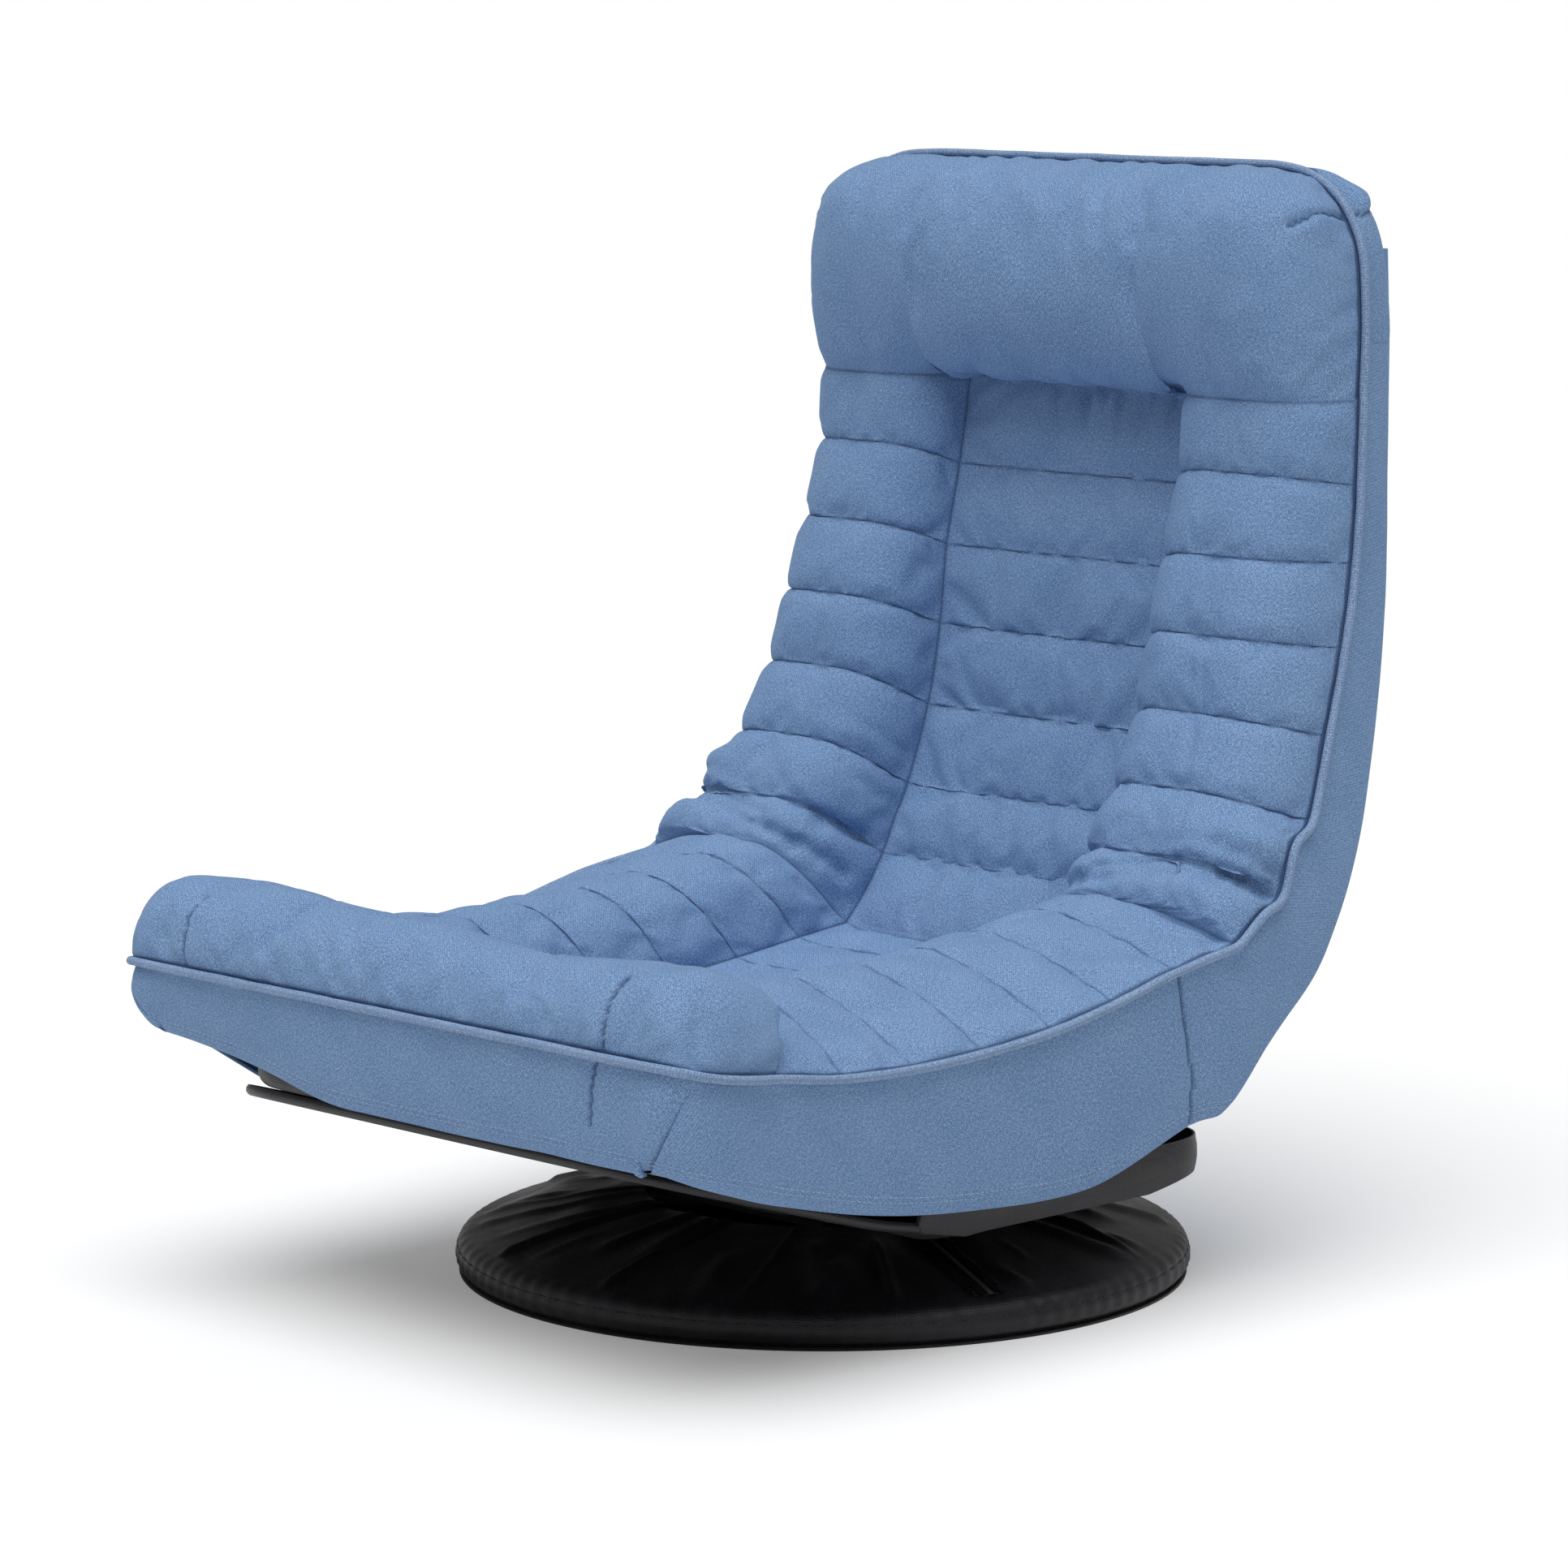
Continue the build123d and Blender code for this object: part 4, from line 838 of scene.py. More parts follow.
# ------------------------------------------------------------------ sewing and stuffing
@dataclass(frozen=True)
class ClothPress:
    """Blows sewn cloth up from behind while its seams are held, as stuffing does."""

    pressure: float = 4.0
    slack: float = 0.035
    mass: float = 0.0002
    frames: int = 12
    cap: float = 8 * MM
    bending: float = 0.05
    calm: float = 9 * MM
    quick_rounds: int = 9
    quick_swell: float = 0.7 * MM

    def blow(self, grid: np.ndarray, held: np.ndarray, seed: int, fullness: float) -> np.ndarray:
        """Simulate the cloth and return its settled points.

        Args:
            grid: Rows by columns of the sewn face.
            held: True where a point is sewn down.
            seed: Which unevenness the cloth starts with.
            fullness: Share of the even swelling that stays; the wrinkles all stay.

        Returns:
            The grid after the cloth has settled, no point further than the cap from its start.
        """
        uneven = value_noise(grid / (14 * MM), seed) * np.where(held, 0.0, 0.35 * MM)
        start = grid + facing(grid) * (uneven + np.where(held, 0.0, 0.8 * MM))[..., None]
        piece = stuffed("pressed", start, 8 * MM, np.zeros(grid.shape[:2]))
        free = np.flatnonzero(~held.reshape(-1)).tolist()
        group = piece.vertex_groups.new(name="held")
        group.add(list(range(len(piece.data.vertices))), 1.0, "REPLACE")
        group.remove(free)
        cloth = piece.modifiers.new("cloth", "CLOTH")
        settings = cloth.settings
        settings.quality = 4
        settings.mass = self.mass
        settings.tension_stiffness = settings.compression_stiffness = 12.0
        settings.shear_stiffness = 4.0
        settings.bending_stiffness = self.bending
        settings.tension_damping = settings.compression_damping = settings.shear_damping = 4.0
        settings.air_damping = 2.0
        settings.vertex_group_mass = "held"
        settings.use_pressure = True
        settings.uniform_pressure_force = self.pressure
        settings.shrink_min = -self.slack
        settings.effector_weights.gravity = 0.0
        cloth.collision_settings.use_collision = False
        cloth.collision_settings.use_self_collision = False
        cloth.point_cache.frame_start = 1
        cloth.point_cache.frame_end = self.frames
        scene = bpy.context.scene
        for frame in range(1, self.frames + 1):
            scene.frame_set(frame)
        mesh = piece.evaluated_get(bpy.context.evaluated_depsgraph_get()).data
        flat = np.empty(len(mesh.vertices) * 3)
        mesh.vertices.foreach_get("co", flat)
        settled = flat.reshape(-1, 3)[: grid[..., 0].size].reshape(grid.shape)
        bpy.data.objects.remove(piece, do_unlink=True)
        scene.frame_set(1)
        move = settled - grid
        move = move - (1 - fullness) * relaxed(move, 60, held)
        move = move * smooth(border_gap(grid), 0.0, self.calm)[..., None]
        distance = np.linalg.norm(move, axis=-1, keepdims=True)
        LOG.info("cloth moved %.1f mm at most, %.1f mm on average", distance.max() / MM,
                 distance.mean() / MM)
        return grid + move * np.minimum(1.0, self.cap / np.maximum(distance, 1e-9))


@dataclass(frozen=True)
class Crease:
    """Fold, dart or gather pressed into a pad along a path.

    Attributes:
        path: Points near the pad's face, in millimetres.
        depth: How deep it is, in millimetres; a ridge is negative.
        width: Half width, in millimetres.
        fade: Share of its depth that is left at the far end.
        line: How dark its bottom is painted, 0 to 1: the dart's needle line and painted shade in its fold.
    """

    path: tuple[tuple[float, float, float], ...]
    depth: float
    width: float
    fade: float = 0.0
    line: float = 0.0

    def mirrored(self) -> "Crease":
        """The same crease on the chair's other side."""
        path = tuple((-x, y, z) for x, y, z in self.path)
        return Crease(path, self.depth, self.width, self.fade, self.line)

    def press(self, grid: np.ndarray, seam: np.ndarray) -> tuple[np.ndarray, np.ndarray]:
        """Press the crease into a grid.

        Args:
            grid: Rows by columns of points.
            seam: How dark each point is painted: needle lines and painted shade.

        Returns:
            The pressed grid and the seam layer with the crease's painted dark line added.
        """
        face = grid.reshape(-1, 3)
        wanted = even_line(np.array(self.path) * MM, 2.5 * MM)
        on_face = np.array([face[np.argmin(((face - point) ** 2).sum(axis=1))] for point in wanted])
        on_face = on_face + np.linspace(0, 1e-7, len(on_face))[:, None]
        on_face = at_shares(on_face, np.linspace(0, 1, 3 * len(wanted)))
        margin = 2.6 * self.width * MM
        near = ((grid > on_face.min(axis=0) - margin) & (grid < on_face.max(axis=0) + margin)).all(axis=-1)
        gaps = np.linalg.norm(grid[near][:, None] - on_face, axis=-1)
        gap = np.full(grid.shape[:2], 1.0)
        gap[near] = gaps.min(axis=-1)
        travelled = np.zeros(grid.shape[:2])
        travelled[near] = gaps.argmin(axis=-1) / (len(on_face) - 1)
        inside = smooth(border_gap(grid), 0.0, (3 + 0.8 * self.width) * MM)
        strength = (1 - (1 - self.fade) * travelled) * inside
        shape = np.exp(-((gap / (self.width * MM)) ** 2)) * strength
        pressed = grid - facing(grid) * (shape * self.depth * MM)[..., None]
        # Painted shade along the bottom of the fold, together with the dart's needle line.
        darker = self.line * np.exp(-((gap / (0.9 * MM)) ** 2)) * np.sqrt(strength)
        return pressed, np.maximum(seam, darker)


def both_sides(folds: Sequence[Crease]) -> list[Crease]:
    """Each crease, followed by the same one on the chair's other side."""
    return [fold for crease in folds for fold in (crease, crease.mirrored())]


@dataclass(frozen=True)
class Station:
    """Where a run of padding stands at one place along it, in millimetres.

    Attributes:
        middle: (y, z) of the sunk middle panel.
        crown: (y, z) of the top of the side rolls.
        edge: (x, y, z) of the piping on the left side.
        tuck: How deep the cloth is drawn in if a seam crosses here.
    """

    middle: tuple[float, float]
    crown: tuple[float, float]
    edge: tuple[float, float, float]
    tuck: float = 4.0


@dataclass
class PaddedRun:
    """Padding that keeps one cross-section as it runs along the chair: a middle and a roll on each side."""

    stations: tuple[Station, ...]
    seams: tuple[int, ...]
    centre_half: float = 102 * MM
    inset: float = 44 * MM
    outset: float = 46 * MM
    roundness: float = 2.0
    step: float = 4.4 * MM
    needle_line: float = 1.3 * MM
    creased: bool = True
    places: np.ndarray = field(init=False)
    seam_gap: np.ndarray = field(init=False)
    tuck: np.ndarray = field(init=False)

    def __post_init__(self) -> None:
        """Lay out the rows, close together at each seam."""
        crown = np.array([station.crown for station in self.stations]) * MM
        places: list[float] = []
        gaps: list[float] = []
        for first, last in zip(self.seams, self.seams[1:]):
            dense = np.linspace(first, last, 400)
            travelled = lengths_along(through(crown, dense))
            shares = sewn_shares(travelled[-1], self.step)
            if places:
                shares = shares[1:]
            places += np.interp(shares * travelled[-1], travelled, dense).tolist()
            gaps += (np.minimum(shares, 1 - shares) * travelled[-1]).tolist()
        self.places = np.array(places)
        self.seam_gap = np.array(gaps)
        tucks = np.array([station.tuck for station in self.stations]) * MM
        nearest = np.array(self.seams)[np.abs(self.places[:, None] - np.array(self.seams)).argmin(axis=1)]
        self.tuck = tucks[nearest]

    def lines(self) -> tuple[np.ndarray, np.ndarray, np.ndarray]:
        """Middle (y, z), crown (y, z) and edge (x, y, z) of every row."""
        return tuple(
            through(np.array([getattr(station, part) for station in self.stations]) * MM, self.places)
            for part in ("middle", "crown", "edge")
        )

    def roll(self) -> np.ndarray:
        """Face of the left side roll, from the middle panel's seam out to the piping.

        Returns:
            Rows by columns of points.
        """
        middle, crown, edge = self.lines()
        turn = sewn_shares(78 * MM, self.step) * math.pi / 2
        rise = turn if self.creased else np.linspace(0, 1, len(turn)) * math.pi / 2
        flat = np.linspace(0, 1, 13)[1:-1]
        rows = []
        power = 2 / self.roundness
        for low, high, end in zip(middle, crown, edge):
            wall_x = self.centre_half + self.inset * (1 - np.cos(rise))
            wall = low + (high - low) * np.sin(rise)[:, None]
            outer_x = end[0] - self.outset
            inner_x = min(self.centre_half + self.inset, outer_x)
            wall_x = np.minimum(wall_x, inner_x)
            top_x = inner_x + (outer_x - inner_x) * flat
            top = np.broadcast_to(high, (len(flat), 2))
            side_x = outer_x + self.outset * np.sin(turn) ** power
            side = end[1:] + (high - end[1:]) * (np.cos(turn) ** power)[:, None]
            x = np.concatenate([wall_x, top_x, side_x])
            row = np.column_stack([x, np.vstack([wall, top, side])])
            rows.append(row if self.creased else self.even_row(row))
        return np.array(rows)

    def even_row(self, row: np.ndarray) -> np.ndarray:
        """Row of points spread evenly, but for a few close ones beside the piping."""
        near = SEAM_STEPS / lengths_along(row)[-1]
        shares = np.linspace(0, 1 - near[-1], round(0.16 / self.step))
        return at_shares(row, np.concatenate([shares[:-1], 1 - near[::-1]]))

    def centre(self) -> np.ndarray:
        """Face of the sunk middle panel, from its right seam to its left one."""
        middle, _, _ = self.lines()
        across = (2 * sewn_shares(2 * self.centre_half, self.step, self.creased) - 1) * self.centre_half
        x = np.broadcast_to(across, (len(middle), len(across)))
        y, z = (np.broadcast_to(middle[:, axis, None], x.shape) for axis in (0, 1))
        return np.stack([x, y, z], axis=-1)

    def whole(self) -> np.ndarray:
        """Face across the whole chair, from the right piping to the left one."""
        left = self.roll()
        right = left[:, ::-1] * np.array([-1.0, 1.0, 1.0])
        return np.concatenate([right[:, :-1], self.centre(), left[:, 1:]], axis=1)

    def tucked(self, grid: np.ndarray, reach: float = 5 * MM, sides: bool = True) -> np.ndarray:
        """Draw the cloth in along the seams.

        Args:
            grid: A face of this run.
            reach: How far beside a seam the cloth is drawn in.
            sides: Whether the two long borders are seams as well.

        Returns:
            The drawn-in face.
        """
        depth = self.tuck[:, None] * np.exp(-self.seam_gap / reach)[:, None] * np.ones(grid.shape[1])
        if sides:
            depth = depth * smooth(side_gap(grid, 1), 0.0, 12 * MM)
        return grid - facing(grid) * depth[..., None]

    def seam_layer(self, grid: np.ndarray, strength: float = 0.5) -> np.ndarray:
        """Darkness at each point of a refined face near a cross seam or border: the needle line's pressed
        yarn and painted shade in its valley.
        """
        flat = flat_places(grid)
        rows = np.zeros(len(grid))
        rows[0::2] = self.seam_gap < 1e-6
        seams = flat[rows > 0, 0, 1]
        gap = np.abs(flat[:, :, 1, None] - seams).min(axis=-1)
        width = flat[:, -1, 0] - flat[:, 0, 0]
        border = np.minimum(flat[:, :, 0] + width[:, None] / 2, width[:, None] / 2 - flat[:, :, 0])
        return strength * np.exp(-((np.minimum(gap, border) / self.needle_line) ** 2))

    def held(self, grid: np.ndarray) -> np.ndarray:
        """True at the points that a seam or border holds."""
        mask = np.zeros(grid.shape[:2], bool)
        mask[self.seam_gap < 1e-6] = True
        mask[0] = mask[-1] = True
        mask[:, 0] = mask[:, -1] = True
        return mask


def mirrored_grid(grid: np.ndarray) -> np.ndarray:
    """The same face on the chair's other side, still seen from outside."""
    return grid[:, ::-1] * np.array([-1.0, 1.0, 1.0])


def bend_with_back(piece: bpy.types.Object) -> None:
    """Bake a piece of upholstery's placement into its mesh."""
    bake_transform(piece)


# ------------------------------------------------------------------ seat and back cushions
@dataclass
class Cushions:
    """Quilted seat, front roll, quilted back and headrest, sewn edge to edge."""

    finishes: Finishes
    press: ClothPress = ClothPress()
    turn_in: float = 4 * MM
    head_outset: float = 50 * MM
    roll_outset: float = 36 * MM
    seat_stations: tuple[Station, ...] = (
        # from the front roll back to the crease
        Station((-268, 172), (-268, 238), (256.5, -288, 196.5), 1.2),
        Station((-206, 171), (-222, 231), (257, -237, 189.5), 1.6),
        Station((-150, 171), (-172, 227.5), (258.5, -181, 187.5), 4),
        Station((-94, 172), (-118, 226.5), (260, -126, 189.5), 1.6),
        Station((-37, 175.5), (-62, 230), (261, -68, 195), 1.6),
        Station((22, 181), (-12, 235), (262, -17, 204.5), 2),
        Station((78, 187.5), (44, 242), (262, 38, 217), 3),
        Station((121, 192), (77, 249), (260, 96, 225.5), 4.5),
    )
    back_stations: tuple[Station, ...] = (
        # from the crease up to the headrest
        Station((121, 192), (77, 249), (260, 96, 225.5), 4.5),
        Station((139, 212), (86, 261), (258, 121, 242)),
        Station((155, 235), (99, 275), (251, 147, 249), 5),
        Station((166, 257), (112, 293), (249, 160, 280)),
        Station((178, 279), (126, 312), (241, 185, 291), 4.5),
        Station((197, 330), (148, 356), (235, 206, 341), 4),
        Station((208, 383), (160, 403), (231, 225, 394), 4),
        Station((214, 435), (176, 451), (228.5, 237, 446), 4),
        Station((226, 488), (190, 502), (227, 242, 494), 4),
        Station((236, 547), (194, 547), (227, 244, 547), 1.6),
    )
    head_stations: tuple[Station, ...] = (
        # from the head seam up and over to the top piping
        Station((236, 547), (194, 547), (227, 244, 547), 1.6),
        Station((214, 545), (187, 560), (227, 244.5, 572)),
        Station((193, 556), (181, 583), (226.5, 245, 595)),
        Station((180, 584), (177.5, 606), (225.5, 245, 615)),
        Station((177, 616), (177, 627), (224.5, 245, 630)),
        Station((177.5, 643), (177.5, 645), (221.5, 245, 643)),
        Station((181, 664), (181, 664), (216, 245, 655)),
        Station((193, 678.5), (193, 678.5), (209, 245, 665)),
        Station((214, 685.5), (214, 685.5), (201, 245, 673)),
        Station((232, 688.5), (232, 688.5), (193, 245, 679)),
        Station((245, 690), (245, 690), (186, 245, 682.5), 1.5),
    )
    front_stations: tuple[Station, ...] = (
        # from the front piping up and over to the seat
        Station((-358.5, 209), (-358.5, 209), (249.5, -351, 206.5), 1.2),
        Station((-358.5, 228), (-358.5, 228), (252.5, -345, 205)),
        Station((-354, 243.5), (-354, 243.5), (254.5, -338, 203.5)),
        Station((-344, 253.5), (-345, 253.5), (255.5, -331, 202)),
        Station((-328, 258), (-330, 258.5), (256, -322, 200.5)),
        Station((-307, 252), (-311, 257), (256.5, -312, 199)),
        Station((-286, 222), (-290, 249.5), (256.5, -300, 197.5)),
        Station((-268, 172), (-268, 238), (256.5, -288, 196.5), 1.2),
    )
    crease_folds: tuple[Crease, ...] = (
        # soft folds of the back's side rolls over the crease, from their inner ends outwards
        Crease(((104, 122, 224), (118, 98, 243), (136, 86, 253), (158, 84, 258), (180, 89, 264),
                (204, 93, 268), (226, 103, 263), (242, 124, 255), (250, 144, 247)), 5.2, 5.5, 0.8),
        Crease(((150, 90, 263), (175, 93, 269), (205, 97, 274), (228, 108, 270), (243, 130, 260),
                (250, 148, 252)), 3.6, 4.5, 0.5),
        Crease(((248, 148, 261), (244, 136, 270), (232, 116, 281), (216, 106, 286), (196, 103, 283),
                (176, 104, 282)), 4.2, 5.0, 0.1),
        Crease(((105, 142, 246), (116, 118, 258), (132, 103, 272), (152, 106, 288),
                (170, 112, 296)), 3.8, 5.5, 0.1),
        Crease(((248, 156, 286), (238, 138, 299), (222, 124, 305), (200, 120, 304)), 3.0, 5.0, 0.1),
        Crease(((246, 150, 272), (238, 130, 288), (220, 116, 296)), -2.4, 5.0, 0.1),
        Crease(((106, 154, 272), (120, 134, 290), (140, 126, 306)), 2.4, 5.0, 0.1),
        Crease(((104, 176, 300), (116, 152, 318), (136, 140, 332)), 2.0, 5.0, 0.1),
    )
    seat_folds: tuple[Crease, ...] = (
        Crease(((256, 84, 224), (226, 62, 240), (186, 56, 240)), 2.2, 6.0, 0.1),
        Crease(((106, 104, 200), (126, 74, 228), (150, 62, 236)), 2.2, 5.5, 0.1),
        Crease(((256, 20, 212), (236, 8, 222), (206, 4, 220)), 1.4, 5.5, 0.0),
        Crease(((104, -152, 182), (112, -168, 206), (128, -178, 219)), 2.4, 5.0, 0.0),
        Crease(((256, -196, 192), (238, -190, 214), (205, -196, 224)), 1.8, 7.0, 0.0),
    )
    head_folds: tuple[Crease, ...] = (
        # pinched corners over the side rolls
        Crease(((103, 214, 545), (105, 192, 553), (108, 181, 569)), 4.0, 5.5, 0.0),
        Crease(((100, 214, 545), (95, 192, 554), (86, 181, 566)), 2.8, 4.5, 0.0),
        Crease(((106, 210, 546), (122, 190, 552), (140, 181, 560)), 2.2, 6.0, 0.0),
        # top corners stand out over their darts
        Crease(((214, 214, 663), (210, 202, 658), (204, 190, 650)), -6.0, 14.0, 0.0),
        Crease(((217, 245, 661), (214, 230, 662), (210, 214, 660), (206, 200, 656)), 3.0, 2.2, 0.9, 0.8),
        Crease(((208, 208, 659), (204, 190, 651), (198, 180, 636)), 2.0, 6.0, 0.0),
    )
    roll_folds: tuple[Crease, ...] = (
        # front corners stand out a little, then their darts run down to the piping
        Crease(((190, -344, 258), (190, -353, 246), (190, -358, 230), (189, -357, 211)), 2.6, 2.0, 0.8, 0.85),
        Crease(((190, -346, 256), (182, -338, 260), (170, -328, 263)), 2.2, 4.5, 0.0),
        Crease(((190, -350, 250), (200, -350, 240), (206, -350, 222)), 1.0, 7.0, 0.0),
        # cross seam of the roll's side
        Crease(((104, -276, 205), (112, -288, 240), (122, -302, 260)), 1.6, 7.0, 0.0),
    )
    gathers: tuple[tuple[float, float, float], ...] = (
        # (x, depth, length) of the gathers under the headrest, in millimetres
        (-64, 1.2, 34), (-22, 1.4, 40), (4, 2.6, 52), (20, 2.2, 44), (33, 2.8, 58), (52, 2.0, 46),
        (62, 1.6, 36), (80, 1.8, 40), (91, 1.4, 30),
    )

    def __post_init__(self) -> None:
        """Prepare the four runs of padding."""
        every = tuple(range(len(self.seat_stations)))
        self.seat = PaddedRun(self.seat_stations, every, inset=50 * MM, outset=104 * MM, roundness=1.3)
        self.back = PaddedRun(self.back_stations, (0, 2, *range(4, len(self.back_stations))))
        self.head = PaddedRun(self.head_stations, (0, len(self.head_stations) - 1), outset=self.head_outset,
                              creased=False)
        self.front = PaddedRun(self.front_stations, (0, len(self.front_stations) - 1),
                               outset=self.roll_outset, roundness=2.2, creased=False)
        self.borders: dict[str, np.ndarray] = {}

    def sewn(self, run: PaddedRun, grid: np.ndarray, seed: int, fullness: float,
             piped: Sequence[str] = ()) -> tuple[np.ndarray, np.ndarray]:
        """Stuff one face and refine it.

        Args:
            run: The run it belongs to.
            grid: Its drawn-in face.
            seed: Its unevenness.
            fullness: Share of the even swelling that stays.
            piped: Borders that carry the piping.

        Returns:
            The refined face and its seam layer, with needle lines and painted shade beside the piping.
        """
        held = run.held(grid)
        blown = relaxed(self.press.blow(grid, held, seed, fullness), 1, held)
        fine = refined(blown)
        return fine, np.maximum(run.seam_layer(fine), piped_shade(fine, piped))

    def finish_pad(self, name: str, grid: np.ndarray, seam: np.ndarray, node: str) -> Any:
        """Make the pad, dress it and hide the node that it replaces."""
        piece = stuffed(name, grid, self.turn_in, seam)
        self.finishes.dress(piece, self.finishes.fabric, Slot.BLUE_FABRIC)
        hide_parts(node)
        LOG.info("%s: %d faces", name, len(piece.data.polygons))
        return piece

    def press_all(self, grid: np.ndarray, seam: np.ndarray, folds: Sequence[Crease]) -> Any:
        """Press a list of creases into a face, one after another."""
        for fold in folds:
            grid, seam = fold.press(grid, seam)
        return grid, seam

    def joined(self, seat: np.ndarray, back: np.ndarray) -> tuple[np.ndarray, np.ndarray]:
        """Faces of the seat and of the back that meet in one row at the crease."""
        middle = (seat[-1] + back[0]) / 2
        return np.concatenate([seat[:-1], middle[None]]), np.concatenate([middle[None], back[1:]])

    def build_side_rolls(self) -> None:
        """Make the side rolls of the seat and of the back on both sides."""
        faces = self.joined(self.seat.tucked(self.seat.roll()), self.back.tucked(self.back.roll()))
        for part, run, folds, low_seed, face in (("seat", self.seat, self.seat_folds, 11, faces[0]),
                                                 ("back", self.back, self.crease_folds, 23, faces[1])):
            self.borders[part] = face
            for side in Side:
                left = side is Side.LEFT
                grid, seam = self.sewn(run, face if left else mirrored_grid(face), low_seed + int(left), 0.45,
                                       ["right" if left else "left"])
                chosen = folds if left else [fold.mirrored() for fold in folds]
                grid, seam = self.press_all(grid, seam, chosen)
                piece = self.finish_pad(f"{part}_side_roll_{side.word}", grid, seam,
                                        f"{part}_bolster_{side.word}")
                bend_with_back(piece)
                self.borders[f"{part}_{side.word}"] = grid

    def build_centres(self) -> None:
        """Make the sunk middle panels of the seat and of the back, with the gathers at the top."""
        faces = self.joined(self.seat.tucked(self.seat.centre()), self.back.tucked(self.back.centre()))
        for part, run, seed, face in (("seat", self.seat, 31, faces[0]), ("back", self.back, 41, faces[1])):
            self.borders[f"{part}_centre"] = face
            grid, seam = self.sewn(run, face, seed, 0.25 if part == "seat" else 0.5)
            if part == "back":
                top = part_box("back_center_pad")[1].z
                below = (top - grid[..., 2]) / MM
                normal = facing(grid)
                for x, depth, reach in self.gathers:
                    lean = x * MM + (below * MM) * 0.12
                    shape = 1.5 * np.exp(-(((grid[..., 0] - lean) / (3.4 * MM)) ** 2))
                    grid = grid - normal * (shape * depth * MM * smooth(below, reach, 0.0)
                                            * smooth(below, -1.0, 5.0))[..., None]
            piece = self.finish_pad(f"{part}_middle_pad", grid, seam, f"{part}_center_pad")
            bend_with_back(piece)

    def seam_row(self, part: str, row: int) -> np.ndarray:
        """Row of points that a run's panels share with the pad at their end."""
        roll = self.borders[part][row]
        centre = self.borders[f"{part}_centre"][row]
        right = roll[::-1] * np.array([-1.0, 1.0, 1.0])
        return np.concatenate([right[:-1], centre, roll[1:]])

    def build_ends(self) -> None:
        """Make the headrest and the front roll, which reach from piping to piping."""
        for name, run, part, run_row, end_row, folds, seed, node, body in (
            ("headrest_cushion", self.head, "back", -1, 0, self.head_folds, 51, "headrest_pad", "back"),
            ("front_roll_cushion", self.front, "seat", 0, -1, self.roll_folds, 61, "front_roll", "seat"),
        ):
            grid = run.tucked(run.whole(), reach=9 * MM, sides=False)
            shared = lengths_along(grid[end_row])
            grid[end_row] = at_shares(self.seam_row(part, run_row), shared / shared[-1])
            top = "last" if end_row == 0 else "first"
            if part == "seat":
                sag = 2 * hump(grid[..., 0], -0.12, 0.07) - 7 * hump(grid[..., 0], 0.115, 0.075)
                grid[..., 2] += sag * MM * smooth(grid[..., 2], 0.225, 0.25)
            grid, seam = self.sewn(run, grid, seed, 0.35, ["left", "right", top])
            grid, seam = self.press_all(grid, seam, both_sides(folds))
            self.borders[name] = grid
            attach(self.finish_pad(name, grid, seam, node), body)

    def edge_line(self, side: Side) -> np.ndarray:
        """Outer border of the padding on one side, from the front roll's corner up to the headrest's."""
        column = -1 if side is Side.LEFT else 0
        front = self.borders["front_roll_cushion"][:, column]
        seat = self.borders[f"seat_{side.word}"][:, column]
        back = self.borders[f"back_{side.word}"][:, column]
        head = self.borders["headrest_cushion"][:, column]
        return np.vstack([front, seat[1:], back[1:], head[1:]])

    def front_line(self) -> np.ndarray:
        """Front border of the roll, from the right corner to the left one."""
        return self.borders["front_roll_cushion"][0]

    def top_line(self) -> np.ndarray:
        """Top border of the headrest, from the right corner to the left one."""
        return self.borders["headrest_cushion"][-1]


